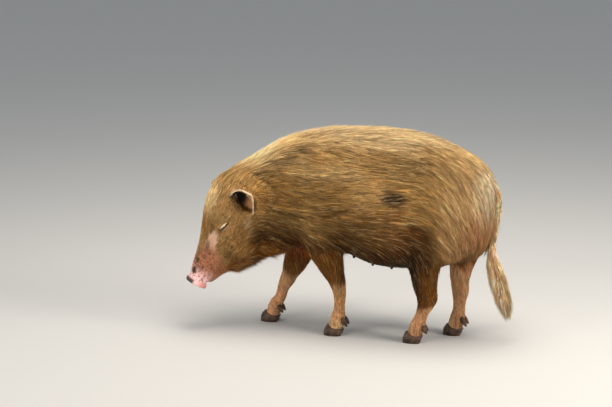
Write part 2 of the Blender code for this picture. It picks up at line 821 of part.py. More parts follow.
def lock(name, skin, root, heading, size, rng, group, hang=0.0):
    """One flat tapered lock: rooted in the skin, bent along it, its tip standing a little off."""
    length, wide, thick, lift = size
    length *= rng.uniform(0.85, 1.15)
    wide *= rng.uniform(0.85, 1.15)
    bend = math.radians(rng.uniform(-9, 9))
    place, out, _, _ = skin.find_nearest(root)
    rows = [(place - out * (thick + 0.004), out, 0.5, 1.0)]
    for step, share, width, depth in [(0.20, 0, 1.0, 1.0), (0.42, 0.4, 0.8, 0.85), (0.38, 1, 0.1, 0.3)]:
        heading = heading - out * heading.dot(out)
        heading = Matrix.Rotation(bend, 3, out) @ heading.normalized()
        place, out, _, _ = skin.find_nearest(place + heading * length * step)
        height = thick + 0.0015 + (lift - thick) * share
        drop = Vector((0, 0, -hang * share))
        rows.append((place + out * height + drop, out, width, depth))
    bm = bmesh.new()
    rings = []
    for i, (point, out, width, depth) in enumerate(rows):
        ahead = rows[min(i + 1, len(rows) - 1)][0] - rows[max(i - 1, 0)][0]
        side = ahead.normalized().cross(out).normalized()
        top = side.cross(ahead).normalized()
        corners = [side * wide * width, top * thick * depth, -side * wide * width, -top * thick * depth]
        rings.append([bm.verts.new(point + corner) for corner in corners])
    tube_faces(bm, rings)
    return object_from(bm, name, group)


def spread(axis, across, upward, angles, offset=0.0):
    """Directions round an axis, by angle from the upward one."""
    return [
        upward * math.cos(math.radians(a)) + across * math.sin(math.radians(a)) + axis * offset
        for a in angles
    ]


def lock_roots(skin):
    """Where the body's locks stand: the place on the skin and the size of the lock."""
    found = []

    def cast(centre, directions, size, hang=0.0):
        for direction in directions:
            hit, _, _, _ = skin.ray_cast(centre, direction.normalized())
            if hit is not None:
                found.append((hit, size, hang))

    x_axis, y_axis, z_axis = Vector((1, 0, 0)), Vector((0, 1, 0)), Vector((0, 0, 1))
    for i in range(8):
        centre = Vector((-0.115 + 0.067 * i, 0, 0.420))
        shift = 17 if i % 2 else 0
        angles = range(-153 + shift, 154, 36)
        cast(centre, spread(x_axis, y_axis, z_axis, angles), BODY_LOCK)
    for i in range(6):
        share = i / 5
        centre = Vector((-0.33 + 0.24 * share, -0.06 + 0.06 * share, 0.41 + 0.03 * share))
        across, upward, ahead = turned(math.radians(36 - 34 * share), math.radians(24 - 24 * share))
        cast(centre, spread(ahead, across, upward, (-20, 20) if i % 2 else (-42, 0, 42)), CREST_LOCK)
        if i in (1, 3):
            angles = (-64, -92, -122, 64, 92, 122) if i == 1 else (-78, -107, 78, 107)
            cast(centre, spread(ahead, across, upward, angles), BODY_LOCK)
    for i, back in enumerate((0.160, 0.200, 0.240, 0.280, 0.318)):
        centre = on_head(back, -0.02)
        angles = (-24, 24) if i % 2 else (-44, 0, 44)
        cast(centre, spread(SNOUTWARD, RIGHTWARD, CROWNWARD, angles), FACE_LOCK)
        if i in (2, 4):
            cast(centre, spread(SNOUTWARD, RIGHTWARD, CROWNWARD, (-125, 125)), FACE_LOCK)
    for i, back in enumerate((0.078, 0.106, 0.134, 0.162, 0.190)):
        angles = (-152, 180, 152) if i % 2 else (-164, 164)
        cast(on_head(back, -0.05), spread(SNOUTWARD, RIGHTWARD, CROWNWARD, angles), BEARD_LOCK, 0.008)
    for turn, heights in ((-0.65, (-0.2,)), (-0.28, (0.35, -0.5)), (0.28, (0.35, -0.5)), (0.65, (-0.2,))):
        cast(Vector((0.36, 0, 0.42)), [Vector((1, turn, h)) for h in heights], BODY_LOCK)
    for name, rows in LEGS.items():
        outward = y_axis if rows[0][1] > 0 else -y_axis
        for x, y, z, _, _ in rows[2:4]:
            turn = 20 if z > 0.26 else 0
            cast(Vector((x, y, z)), spread(z_axis, x_axis, outward, (-48 + turn, 38 + turn)), LEG_LOCK)
    return found


def coat(skin, keep_clear, group):
    """All the locks of the body that stay clear of ears, tail, dewclaws and eyes."""
    rng = random.Random(SEED)
    made = []
    for root, size, hang in lock_roots(skin):
        heading = lie(root)
        if size is BEARD_LOCK:
            heading = (heading - CROWNWARD * 0.2).normalized()
        end = root + heading * size[0] * 1.1
        near = min(
            tree.find_nearest(point)[3] or 0
            for tree in keep_clear
            for point in (root, (root + end) / 2, end)
        )
        if near > 0.012 + size[1]:
            made.append(lock("lock", skin, root, heading, size, rng, group, hang))
    return made


def tail_locks(group):
    """Locks round the tail: short ones at its root, long ones in the tuft."""
    rng = random.Random(SEED + 1)
    made = []
    path = between(TAIL, 4)
    for start, count, scale in ((5, 2, 0.9), (10, 2, 0.8), (16, 2, 0.8), (20, 4, 1.0), (25, 4, 1.0), (30, 3, 0.8)):
        x, y, z, radius = path[start]
        heading = Vector(path[min(start + 4, len(path) - 1)][:3]) - Vector((x, y, z))
        for k in range(count):
            angle = 2 * math.pi * (k + 0.5 * (start % 2)) / count + 0.4
            out = Vector((math.cos(angle), math.sin(angle), 0))
            root = Vector((x, y, z)) + out * radius
            if start < 12 and out.x < 0.2:
                continue
            size = tuple(v * scale for v in TAIL_LOCK)
            made.append(straight_lock("lock", root - out * radius * 0.7, heading, out, size, rng, group))
    return made


def straight_lock(name, root, heading, out, size, rng, group):
    """A flat tapered lock that springs from a thin part and spreads a little outwards."""
    length, wide, thick, lift = size
    length *= rng.uniform(0.85, 1.15)
    ahead = heading.normalized()
    side = ahead.cross(out).normalized()
    sway = side * rng.uniform(-0.006, 0.006)
    bm = bmesh.new()
    rings = []
    for share, width, off in [(0, 0.7, 0), (0.3, 1.0, 0.8), (0.68, 0.75, 1.0), (1, 0.10, 0.7)]:
        point = root + ahead * length * share + out * lift * off + sway * share * share
        corners = [side * wide * width, out * thick * width, -side * wide * width, -out * thick * width]
        rings.append([bm.verts.new(point + corner) for corner in corners])
    tube_faces(bm, rings)
    return object_from(bm, name, group)


def materials():
    return {
        "coat": material("bristly coat", (0.33, 0.20, 0.09), 0.8),
        "hoof": material("hoof horn", (0.10, 0.07, 0.05), 0.45),
        "eye": material("eye", (0.03, 0.02, 0.015), 0.1),
        "ear": material("ear skin", (0.45, 0.27, 0.17), 0.7),
    }


def main():
    clear_scene()
    pig = collection("pig")
    palette = materials()
    body = flesh(pig)
    for name in EARS:
        boolean(body, ear_hollow(name, pig), "DIFFERENCE")
    skin = surface_of(body)
    centres = {side: eye_centre(skin, side) for side in (-1, 1)}
    ears = [ear(name, pig) for name in EARS]
    hanging = tail(pig)
    fused(hanging, tail_locks(pig), "tail locks")
    larger = grown(body, "larger", pig, CLEAR)
    for piece in ears + [hanging]:
        boolean(piece, copy_of(larger, "cut", pig), "DIFFERENCE")
        largest_only(piece)
    claws = []
    for name, (x, y, turn) in FEET.items():
        for side, word in ((-1, "left"), (1, "right")):
            claws.append(claw(f"hoof_{name}_{word}", x, y, side, turn, pig))
            small = dewclaw(f"dewclaw_{name}_{word}", x, y, side, turn, pig)
            boolean(small, copy_of(larger, "cut", pig), "DIFFERENCE")
            claws.append(largest_only(small))
    bpy.data.objects.remove(larger)

    additions = [snout_disc(pig)]
    for side in (-1, 1):
        additions.append(sphere("lid", centres[side], EYE_RADIUS + LID, pig))
    keep_clear = [surface_of(obj) for obj in ears + [hanging] + claws + additions[1:]]
    fused(body, additions + coat(skin, keep_clear, pig), "additions")
    for side, word in ((-1, "left"), (1, "right")):
        boolean(body, sphere("socket", centres[side], EYE_RADIUS + GAP, pig), "DIFFERENCE")
        boolean(body, slit(centres[side], side, pig), "DIFFERENCE")
        boolean(body, nostril(side, pig), "DIFFERENCE")
        boolean(body, mouth(side, pig), "DIFFERENCE")
        eyeball = sphere(f"eye_{word}", centres[side], EYE_RADIUS, pig)
        eyeball.data.materials.append(palette["eye"])
    for name in FEET:
        boolean(body, coronet_cut(name, pig), "DIFFERENCE")
    nodes = parted(body, pig)
    for obj in nodes.values():
        obj.data.materials.clear()
        obj.data.materials.append(palette["coat"])
    hanging.data.materials.append(palette["coat"])
    for obj in ears:
        obj.data.materials.append(palette["ear"])
    for obj in claws:
        obj.data.materials.append(palette["hoof"])
    centre_on_floor(list(pig.objects))


main()
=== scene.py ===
import math

import bmesh
import bpy
import numpy as np
from mathutils import Matrix, Vector
from mathutils.bvhtree import BVHTree
from mathutils.kdtree import KDTree


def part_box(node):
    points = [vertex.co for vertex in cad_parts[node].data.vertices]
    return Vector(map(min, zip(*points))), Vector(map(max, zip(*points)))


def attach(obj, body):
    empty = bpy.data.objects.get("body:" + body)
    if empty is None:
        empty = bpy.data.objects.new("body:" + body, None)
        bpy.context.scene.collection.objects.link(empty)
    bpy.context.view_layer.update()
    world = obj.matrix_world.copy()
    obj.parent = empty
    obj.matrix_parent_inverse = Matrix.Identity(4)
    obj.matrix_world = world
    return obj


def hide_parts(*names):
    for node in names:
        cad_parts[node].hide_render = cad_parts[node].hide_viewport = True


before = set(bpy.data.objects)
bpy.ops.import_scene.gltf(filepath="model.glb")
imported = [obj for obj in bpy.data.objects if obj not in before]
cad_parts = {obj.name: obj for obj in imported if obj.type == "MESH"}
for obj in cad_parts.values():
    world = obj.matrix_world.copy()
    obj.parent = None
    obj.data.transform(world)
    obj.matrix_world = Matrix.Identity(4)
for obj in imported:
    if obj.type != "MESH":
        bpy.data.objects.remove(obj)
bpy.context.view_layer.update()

# Head: the snout disc's middle, its pitch below level and its turn to the left.
SNOUT = Vector((-0.443, -0.120, 0.155))
HEAD_PITCH = math.radians(62)
HEAD_TURN = math.radians(28)

# Trunk and neck from the rump to the nape. Each row is the station's place x, y, z, its height
# above and below that place, its half width, the pitch of its plane and its turn, in degrees.
TRUNK = [
    (0.481, 0.000, 0.430, 0.048, 0.060, 0.045, 0, 0),
    (0.463, 0.000, 0.420, 0.102, 0.115, 0.098, 0, 0),
    (0.422, 0.000, 0.408, 0.160, 0.150, 0.136, 0, 0),
    (0.345, 0.000, 0.400, 0.207, 0.160, 0.155, 0, 0),
    (0.240, 0.000, 0.395, 0.243, 0.172, 0.168, 0, 0),
    (0.120, 0.000, 0.385, 0.264, 0.158, 0.173, 0, 0),
    (0.030, 0.000, 0.395, 0.251, 0.140, 0.161, 0, 0),
    (-0.060, 0.000, 0.410, 0.224, 0.166, 0.145, 2, 0),
    (-0.140, -0.002, 0.420, 0.194, 0.160, 0.131, 8, 2),
    (-0.205, -0.012, 0.413, 0.158, 0.158, 0.113, 18, 8),
    (-0.262, -0.030, 0.403, 0.140, 0.160, 0.100, 28, 16),
    (-0.305, -0.048, 0.393, 0.124, 0.190, 0.090, 38, 24),
]

# The cleft between the buttocks, under the tail: its middle and half sizes.
CLEFT = ((0.482, 0.000, 0.345), (0.040, 0.013, 0.090))

# Head stations from the snout to the occiput, in the head's own frame: distance behind the
# disc, height of the bridge above the axis, depth below it, half width, and the level of the
# greatest width.
HEAD = [
    (0.004, 0.031, 0.028, 0.034, 0.000),
    (0.022, 0.034, 0.026, 0.031, 0.000),
    (0.045, 0.039, 0.029, 0.033, -0.004),
    (0.080, 0.045, 0.036, 0.042, -0.008),
    (0.121, 0.053, 0.058, 0.058, -0.014),
    (0.165, 0.068, 0.098, 0.076, -0.020),
    (0.204, 0.083, 0.128, 0.086, -0.024),
    (0.240, 0.094, 0.146, 0.090, -0.028),
    (0.272, 0.100, 0.156, 0.090, -0.028),
    (0.315, 0.097, 0.152, 0.084, -0.020),
    (0.345, 0.090, 0.142, 0.076, -0.010),
]

# Lower jaw, in the same frame: distance behind the disc, level, half depth and half width.
JAW = [
    (0.016, -0.031, 0.011, 0.017),
    (0.030, -0.035, 0.014, 0.024),
    (0.055, -0.039, 0.022, 0.031),
    (0.085, -0.048, 0.034, 0.041),
    (0.120, -0.064, 0.044, 0.054),
    (0.160, -0.086, 0.052, 0.063),
    (0.200, -0.104, 0.054, 0.066),
    (0.235, -0.115, 0.050, 0.062),
]

# Legs from the inside of the body to the pastern. Each row is the place x, y, z, the half
# length fore and aft and the half width across.
LEGS = {
    "foreleg_left": [
        (-0.060, -0.085, 0.400, 0.075, 0.050),
        (-0.052, -0.092, 0.335, 0.070, 0.052),
        (-0.034, -0.088, 0.270, 0.057, 0.045),
        (-0.026, -0.080, 0.240, 0.048, 0.039),
        (-0.012, -0.071, 0.200, 0.034, 0.031),
        (-0.001, -0.064, 0.170, 0.025, 0.026),
        (0.005, -0.060, 0.142, 0.021, 0.022),
        (0.006, -0.058, 0.110, 0.018, 0.019),
        (0.004, -0.058, 0.082, 0.018, 0.020),
        (0.000, -0.058, 0.058, 0.023, 0.026),
        (-0.008, -0.058, 0.018, 0.024, 0.026),
    ],
    "foreleg_right": [
        (-0.090, 0.085, 0.400, 0.075, 0.050),
        (-0.118, 0.090, 0.335, 0.070, 0.052),
        (-0.140, 0.082, 0.270, 0.060, 0.045),
        (-0.162, 0.070, 0.217, 0.046, 0.036),
        (-0.182, 0.058, 0.165, 0.033, 0.028),
        (-0.197, 0.050, 0.135, 0.026, 0.023),
        (-0.209, 0.047, 0.106, 0.020, 0.020),
        (-0.220, 0.045, 0.080, 0.020, 0.021),
        (-0.233, 0.044, 0.057, 0.023, 0.026),
        (-0.245, 0.044, 0.018, 0.024, 0.026),
    ],
    "hindleg_left": [
        (0.345, -0.080, 0.430, 0.105, 0.055),
        (0.318, -0.095, 0.350, 0.108, 0.060),
        (0.275, -0.094, 0.300, 0.086, 0.053),
        (0.279, -0.087, 0.252, 0.053, 0.044),
        (0.278, -0.081, 0.215, 0.042, 0.036),
        (0.280, -0.076, 0.172, 0.035, 0.029),
        (0.288, -0.073, 0.142, 0.033, 0.025),
        (0.282, -0.072, 0.115, 0.026, 0.022),
        (0.268, -0.071, 0.085, 0.020, 0.020),
        (0.258, -0.070, 0.058, 0.024, 0.026),
        (0.247, -0.070, 0.018, 0.024, 0.026),
    ],
    "hindleg_right": [
        (0.350, 0.080, 0.430, 0.105, 0.055),
        (0.362, 0.092, 0.350, 0.102, 0.060),
        (0.372, 0.086, 0.290, 0.066, 0.051),
        (0.369, 0.074, 0.240, 0.044, 0.040),
        (0.363, 0.064, 0.205, 0.034, 0.032),
        (0.362, 0.057, 0.168, 0.027, 0.026),
        (0.366, 0.053, 0.136, 0.027, 0.024),
        (0.364, 0.051, 0.112, 0.021, 0.021),
        (0.363, 0.050, 0.082, 0.019, 0.020),
        (0.358, 0.050, 0.056, 0.024, 0.026),
        (0.350, 0.050, 0.018, 0.024, 0.026),
    ],
}

# Muscles under the skin: middle, half sizes, and the pitch of the long axis in degrees.
MUSCLES = [
    ((-0.070, -0.094, 0.400), (0.062, 0.055, 0.115), -12),
    ((-0.088, 0.094, 0.400), (0.062, 0.055, 0.115), -8),
    ((0.345, -0.085, 0.385), (0.105, 0.074, 0.135), 12),
    ((0.355, 0.085, 0.385), (0.100, 0.074, 0.135), 4),
    ((0.222, -0.112, 0.318), (0.056, 0.046, 0.066), 20),
    ((0.262, 0.112, 0.318), (0.056, 0.046, 0.066), 20),
    ((-0.215, -0.040, 0.305), (0.085, 0.060, 0.064), 4),
]

# Swellings of the head, in its frame: behind the disc, above the axis, to the side, half sizes.
HEAD_LUMPS = [
    (0.226, 0.046, 0.046, 0.046, 0.022, 0.026),
    (0.190, -0.055, 0.060, 0.060, 0.048, 0.030),
    (0.120, -0.008, 0.040, 0.045, 0.018, 0.018),
]

# Snout disc: half width and half height, and the nostrils' place and half sizes.
DISC = (0.039, 0.034)
NOSTRIL = (0.0155, 0.001, 0.0055, 0.0090)

# Mouth line in the head's frame: behind the disc and above the axis. It is cut from both sides.
MOUTH = [(-0.010, -0.0300), (0.020, -0.0285), (0.050, -0.0315), (0.078, -0.0330)]
MOUTH_OPEN = 0.0016
MOUTH_DEPTH = 0.012

# Eyes: place behind the disc and above the axis, ball radius, lid thickness and the slit's tilt.
EYE = (0.200, 0.023)
EYE_RADIUS = 0.0125
LID = 0.0024
SLIT_TILT = math.radians(-22)

# Ears, in the head's frame: where the front and the rear margin leave the head, the tip, and
# how deep the cup is. The left ear points out to the side, the right one stands up. The shape
# gives the leaf's width from its root to its tip, the bow its lean to the front margin.
EARS = {
    "ear_left": ((0.305, 0.046, -0.072), (0.276, -0.043, -0.084), (0.344, 0.012, -0.163), 0.029),
    "ear_right": ((0.304, 0.060, 0.064), (0.276, -0.030, 0.080), (0.292, 0.060, 0.156), 0.026),
}
EAR_SHAPE = [1.00, 0.96, 0.84, 0.69, 0.50, 0.28, 0.07]
EAR_BOW = 0.64
EAR_THICKNESS = 0.0042
EAR_HOLLOW = (0.040, 0.022, 0.036)

# Tail: x, y, z and radius from inside the rump to the tip.
TAIL = [
    (0.430, 0.000, 0.500, 0.023),
    (0.466, -0.001, 0.484, 0.022),
    (0.484, -0.003, 0.440, 0.017),
    (0.485, -0.006, 0.390, 0.012),
    (0.476, -0.009, 0.330, 0.0085),
    (0.472, -0.010, 0.285, 0.0075),
    (0.480, -0.010, 0.245, 0.0070),
    (0.496, -0.010, 0.195, 0.0060),
    (0.508, -0.010, 0.145, 0.0050),
    (0.516, -0.010, 0.105, 0.0035),
]

# Feet: the middle of each under its pastern.
FEET = {
    "foreleg_left": (-0.014, -0.058),
    "foreleg_right": (-0.252, 0.044),
    "hindleg_left": (0.241, -0.070),
    "hindleg_right": (0.344, 0.050),
}

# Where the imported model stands. The sizes above have the solids' first origin, and the solids
# part the near hind leg from the trunk at these two planes, so its box gives the way between.
HIND_LEG_FRONT = 0.205
HIND_LEG_INSIDE = -0.012
leg_low, leg_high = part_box("hindleg_left")
SHIFT = Vector((leg_low[0] - HIND_LEG_FRONT, leg_high[1] - HIND_LEG_INSIDE, 0))


def linear(code):
    """An sRGB hex colour as linear red, green and blue."""
    parts = [int(code[i:i + 2], 16) / 255 for i in (1, 3, 5)]
    return [p / 12.92 if p <= 0.04045 else ((p + 0.055) / 1.055) ** 2.4 for p in parts]


pig = bpy.data.collections.new("pig")
bpy.context.scene.collection.children.link(pig)


def object_from(bm, name, group=pig):
    """A new object from a bmesh, with its normals outwards."""
    bmesh.ops.recalc_face_normals(bm, faces=bm.faces)
    return object_with(bm, name, group)


def object_with(bm, name, group):
    mesh = bpy.data.meshes.new(name)
    bm.to_mesh(mesh)
    bm.free()
    made = bpy.data.objects.new(name, mesh)
    group.objects.link(made)
    return made


def evaluated(obj):
    """Applies the object's modifiers to its own mesh."""
    bpy.context.view_layer.update()
    graph = bpy.context.evaluated_depsgraph_get()
    mesh = bpy.data.meshes.new_from_object(obj.evaluated_get(graph))
    obj.modifiers.clear()
    old = obj.data
    obj.data = mesh
    bpy.data.meshes.remove(old)
    return obj


def between(rows, steps):
    """Rows on a smooth curve through the given rows, with a number of steps in each stretch."""
    last = len(rows) - 1
    found = []
    for i in range(last):
        a, b, c, d = (rows[min(max(i + k, 0), last)] for k in (-1, 0, 1, 2))
        for step in range(steps):
            t = step / steps
            found.append([
                q + t * (r - p) / 2 + t * t * (p - 2.5 * q + 2 * r - s / 2)
                + t ** 3 * (1.5 * (q - r) + (s - p) / 2)
                for p, q, r, s in zip(a, b, c, d)
            ])
    found.append(list(rows[last]))
    return found


def ring(bm, centre, across, upward, wide, high, low, square=2.2, around=28):
    """One closed outline: an oval with its own height above and below its widest level."""
    made = bmesh.ops.create_circle(bm, segments=around, radius=1)["verts"]
    power = 2 / square
    for i, vert in enumerate(made):
        angle = 2 * math.pi * i / around
        c, s = math.cos(angle), math.sin(angle)
        side = wide * math.copysign(abs(c) ** power, c)
        rise = (high if s > 0 else low) * math.copysign(abs(s) ** power, s)
        vert.co = centre + across * side + upward * rise
    return made


def tube(bm, rings):
    """Joins the outlines one after the other and closes both ends."""
    for first, second in zip(rings, rings[1:]):
        edges = {e for v in first + second for e in v.link_edges}
        both = set(first) | set(second)
        loops = [
            e for e in edges
            if all(v in both for v in e.verts) and (e.verts[0] in first) == (e.verts[1] in first)
        ]
        bmesh.ops.bridge_loops(bm, edges=loops)
    for end in (rings[0], rings[-1]):
        bmesh.ops.contextual_create(bm, geom=end)


def turned(pitch, turn):
    """Across, upward and forward directions of a station with that pitch and turn to the left."""
    turn_matrix = Matrix.Rotation(turn, 3, "Z")
    forward = turn_matrix @ Vector((-math.cos(pitch), 0, -math.sin(pitch)))
    upward = turn_matrix @ Vector((-math.sin(pitch), 0, math.cos(pitch)))
    across = turn_matrix @ Vector((0, 1, 0))
    return across, upward, forward


RIGHTWARD, CROWNWARD, SNOUTWARD = turned(HEAD_PITCH, HEAD_TURN)
HEAD_AXES = Matrix((-SNOUTWARD, RIGHTWARD, CROWNWARD)).transposed()


def on_head(back, rise, side=0.0):
    """A point given as the distance behind the snout disc, above the axis and to the right."""
    return SNOUT - SNOUTWARD * back + CROWNWARD * rise + RIGHTWARD * side


def tube_object(name, outlines):
    """A closed tube through outlines that are given as a ring's own measures."""
    bm = bmesh.new()
    tube(bm, [ring(bm, *outline) for outline in outlines])
    return object_from(bm, name)


def trunk():
    outlines = []
    for x, y, z, high, low, wide, pitch, turn in between(TRUNK, 3):
        across, upward, _ = turned(math.radians(pitch), math.radians(turn))
        outlines.append((Vector((x, y, z)), across, upward, wide, high, low))
    centre, sizes = CLEFT
    made = tube_object("trunk", outlines)
    return boolean(made, lump("cleft", Vector(centre), sizes, Matrix.Identity(3)))


def head_ring(back, rise, *measures, side=0.0):
    """An outline square to the head's axis."""
    return (on_head(back, rise, side), RIGHTWARD, CROWNWARD, *measures)


def skull():
    rows = between(HEAD, 3)
    return tube_object("skull", [
        head_ring(back, level, wide, high - level, low + level, 2.1) for back, high, low, wide, level in rows
    ])


def jaw():
    rows = between(JAW, 2)
    outlines = [head_ring(back, level, wide, deep, deep, 2.3, 20) for back, level, deep, wide in rows]
    return tube_object("jaw", outlines)


def leg(name):
    return tube_object(name, [
        (Vector((x, y, z)), Vector((0, 1, 0)), Vector((1, 0, 0)), wide, long, long, 2, 20)
        for x, y, z, long, wide in between(LEGS[name], 2)
    ])


def lump(name, centre, sizes, turn, around=16):
    """An ellipsoid for a muscle or a cheek."""
    bm = bmesh.new()
    bmesh.ops.create_uvsphere(bm, u_segments=around, v_segments=around * 3 // 4, radius=1)
    place = Matrix.Translation(centre) @ turn.to_4x4() @ Matrix.Diagonal((*sizes, 1))
    bmesh.ops.transform(bm, matrix=place, verts=bm.verts)
    return object_from(bm, name)


def joined(pieces, name):
    """All the pieces' meshes in one object, still overlapping."""
    bm = bmesh.new()
    for piece in pieces:
        bm.from_mesh(piece.data)
    made = object_with(bm, name, pig)
    for piece in pieces:
        bpy.data.objects.remove(piece)
    return made


def boolean(obj, other):
    """Cuts the other object's volume away, and removes that object."""
    modifier = obj.modifiers.new("Cut", "BOOLEAN")
    modifier.operation = "DIFFERENCE"
    modifier.object = other
    modifier.solver = "MANIFOLD"
    evaluated(obj)
    bpy.data.objects.remove(other)
    return obj


def fused(obj, pieces):
    """Adds all the closed pieces to the object in one union."""
    group = bpy.data.collections.new("additions")
    for piece in pieces:
        group.objects.link(piece)
    modifier = obj.modifiers.new("Union", "BOOLEAN")
    modifier.operation = "UNION"
    modifier.operand_type = "COLLECTION"
    modifier.collection = group
    modifier.solver = "MANIFOLD"
    evaluated(obj)
    for piece in pieces:
        bpy.data.objects.remove(piece)
    return obj


def surface_of(obj):
    """A search tree of the object's faces."""
    bm = bmesh.new()
    bm.from_mesh(obj.data)
    tree = BVHTree.FromBMesh(bm)
    bm.free()
    return tree


def largest_only(obj):
    """Keeps the largest closed surface, in triangles, and drops chips and hollows."""
    bm = bmesh.new()
    bm.from_mesh(obj.data)
    bmesh.ops.triangulate(bm, faces=bm.faces)
    left = set(bm.faces)
    islands = []
    while left:
        island = queue = [left.pop()]
        for face in queue:
            near = {other for edge in face.edges for other in edge.link_faces} & left
            left -= near
            queue.extend(near)
        islands.append(island)
    islands.sort(key=lambda faces: abs(sum(
        f.verts[0].co.dot(f.verts[1].co.cross(f.verts[2].co)) for f in faces
    )))
    bmesh.ops.delete(bm, geom=[f for island in islands[:-1] for f in island], context="FACES")
    bm.to_mesh(obj.data)
    bm.free()


def tube_faces(bm, rings):
    """Quads between outlines that have the same number of corners, and a face at each end."""
    for first, second in zip(rings, rings[1:]):
        count = len(first)
        for i in range(count):
            j = (i + 1) % count
            bm.faces.new((first[i], first[j], second[j], second[i]))
    bm.faces.new(list(reversed(rings[0])))
    bm.faces.new(rings[-1])


def mouth(side):
    """A thin wedge along the mouth line, open to one side."""
    bm = bmesh.new()
    rings = []
    for i, (back, rise) in enumerate(MOUTH):
        half = MOUTH_OPEN / 2 * (1 if i < len(MOUTH) - 1 else 0.5)
        inner = 0.004 if i == 0 else 0.026 - MOUTH_DEPTH + 0.004 * i
        corners = [(0.075, half), (inner, half), (inner, -half), (0.075, -half)]
        rings.append([bm.verts.new(on_head(back, rise + up, side * out)) for out, up in corners])
    tube_faces(bm, rings)
    return object_from(bm, "mouth")


def ear_axes(name):
    """The ear's root, its axis, half of its root's width and the way its cup faces."""
    front, rear, tip, _ = EARS[name]
    first, last, end = on_head(*front), on_head(*rear), on_head(*tip)
    root = (first + last) / 2
    half = (first - last) / 2
    axis = end - root
    open_way = axis.cross(half).normalized()
    if open_way.dot(SNOUTWARD) < 0:
        open_way = -open_way
    return root, axis, half, open_way


def eye_centre(body, side):
    """Just under the face's surface at the eye's place."""
    start = on_head(EYE[0], EYE[1], side * 0.3)
    hit, _, _, _ = body.ray_cast(start, -side * RIGHTWARD)
    return hit - side * RIGHTWARD * (EYE_RADIUS - 0.0022)


def sphere(name, centre, radius, segments=40):
    bm = bmesh.new()
    bmesh.ops.create_uvsphere(bm, u_segments=segments, v_segments=segments * 2 // 3, radius=radius)
    bmesh.ops.translate(bm, vec=centre, verts=bm.verts)
    return object_from(bm, name)


def climb(values, low, high):
    """0 below the low value, 1 above the high one, and smooth between them."""
    t = np.clip((values - low) / (high - low), 0, 1)
    return t * t * (3 - 2 * t)


def fall(values, low, high):
    """1 below the low value, 0 above the high one, and smooth between them."""
    return climb(-values, -high, -low)


def waves(points, size, seed):
    """A soft random pattern from -1 to 1, its patches about the given size across."""
    rng = np.random.default_rng(seed)
    total = np.zeros(len(points))
    for _ in range(7):
        way = rng.normal(size=3)
        way *= 2 * math.pi / (size * 2 * np.linalg.norm(way)) * rng.uniform(0.7, 1.4)
        total += np.sin(points @ way + rng.uniform(0, 7))
    return np.clip(total / 3.2, -1, 1)


def head_place(points):
    """Distance behind the snout disc, height above the head's axis and distance to its right."""
    away = points - np.array(SNOUT)
    return -away @ np.array(SNOUTWARD), away @ np.array(CROWNWARD), away @ np.array(RIGHTWARD)


def face_share(points):
    """1 on the head, 0 behind the ears."""
    back, _, _ = head_place(points)
    return fall(points[:, 0], -0.31, -0.25) * fall(back, 0.26, 0.36)


EAR_BEND = 1.35


def ear_place(points, name):
    """Place by an ear: share of its axis from the root, share of its half width, and depth."""
    root, axis, half, open_way = (np.array(v) for v in ear_axes(name))
    away = points - root
    along = away @ axis / (axis @ axis)
    across = (away - along[:, None] * axis) @ half / (half @ half)
    return along, across, away @ open_way


def in_cup(points, name):
    """1 for places in front of the ear's leaf and in the funnel at its root."""
    along, across, depth = ear_place(points, name)
    row = np.clip((along + 0.12) / 1.12, 0, 1)
    size = np.interp(row, np.linspace(0, 1, len(EAR_SHAPE)), EAR_SHAPE)
    share = (across - EAR_BOW * row * (1 - row)) / size
    angle = np.arcsin(np.clip(share, -1, 1) * math.sin(EAR_BEND))
    hollow = (np.cos(angle) - math.cos(EAR_BEND)) / (1 - math.cos(EAR_BEND)) * (1 - 0.3 * row)
    leaf_depth = 0.010 * row ** 3 - EARS[name][3] * size * hollow
    near = (along > -0.6) & (along < 1.0) & (np.abs(share) < 0.97)
    return near & (depth > leaf_depth - 0.0008) & (depth < 0.014), share


def on_leaf(points, name):
    """1 for the points on the ear's own leaf, found from its distance."""
    along, across, depth = ear_place(points, name)
    close = (along > 0.0) & (along < 1.3) & (np.abs(across) < 1.4) & (np.abs(depth) < 0.06)
    found = np.zeros(len(points))
    for i in np.nonzero(close)[0]:
        found[i] = 1 if ear_trees[name].find_nearest(points[i])[3] < 0.0012 else 0
    return found


def tail_part(points):
    """1 for the points on the tail, found from its own surface."""
    x, y, z = points.T
    found = np.zeros(len(points), bool)
    for i in np.nonzero((x > 0.44) & (np.abs(y) < 0.04) & (z < 0.52))[0]:
        found[i] = tail_tree.find_nearest(points[i])[3] < 0.0015
    return found


def slit_axes(side):
    """Turned as the slit is: its length's way and the way above it."""
    tilt = Matrix.Rotation(side * SLIT_TILT, 3, RIGHTWARD)
    return tilt @ -SNOUTWARD, tilt @ CROWNWARD


def eye_places(points):
    """For each eye, the distance along its slit and above it. Far points get a large one."""
    places = []
    for side, centre in eye_centres.items():
        away = points - np.array(centre)
        far = np.where(np.linalg.norm(away, axis=1) > 0.05, 1.0, 0.0)
        places.append([away @ np.array(way) + far for way in slit_axes(side)])
    return places


def smoothed(bm, verts, rounds):
    for _ in range(rounds):
        bmesh.ops.smooth_vert(
            bm, verts=verts, factor=0.5, use_axis_x=True, use_axis_y=True, use_axis_z=True
        )


def vectors(items, field):
    """One vector for each of a mesh's vertices or normals."""
    flat = np.empty(len(items) * 3, np.float32)
    items.foreach_get(field, flat)
    return flat.reshape(-1, 3).astype(float)


# The skin. It lies under the bristles, so it is set in from the solids: deepest where the coat
# is thickest, hardly at all on the snout and the lower legs.
SKIN_VOXEL = 0.0054
SMOOTHING_ROUNDS = 7
COAT_DEPTH = 0.0045
BARE_DEPTH = 0.0010


def coat_share(points):
    """1 where the bristles are long, 0 on the snout and the feet."""
    back, _, _ = head_place(points)
    on_face = np.where(points[:, 0] < -0.24, climb(back, 0.06, 0.30), 1)
    return on_face * climb(points[:, 2], 0.10, 0.30)


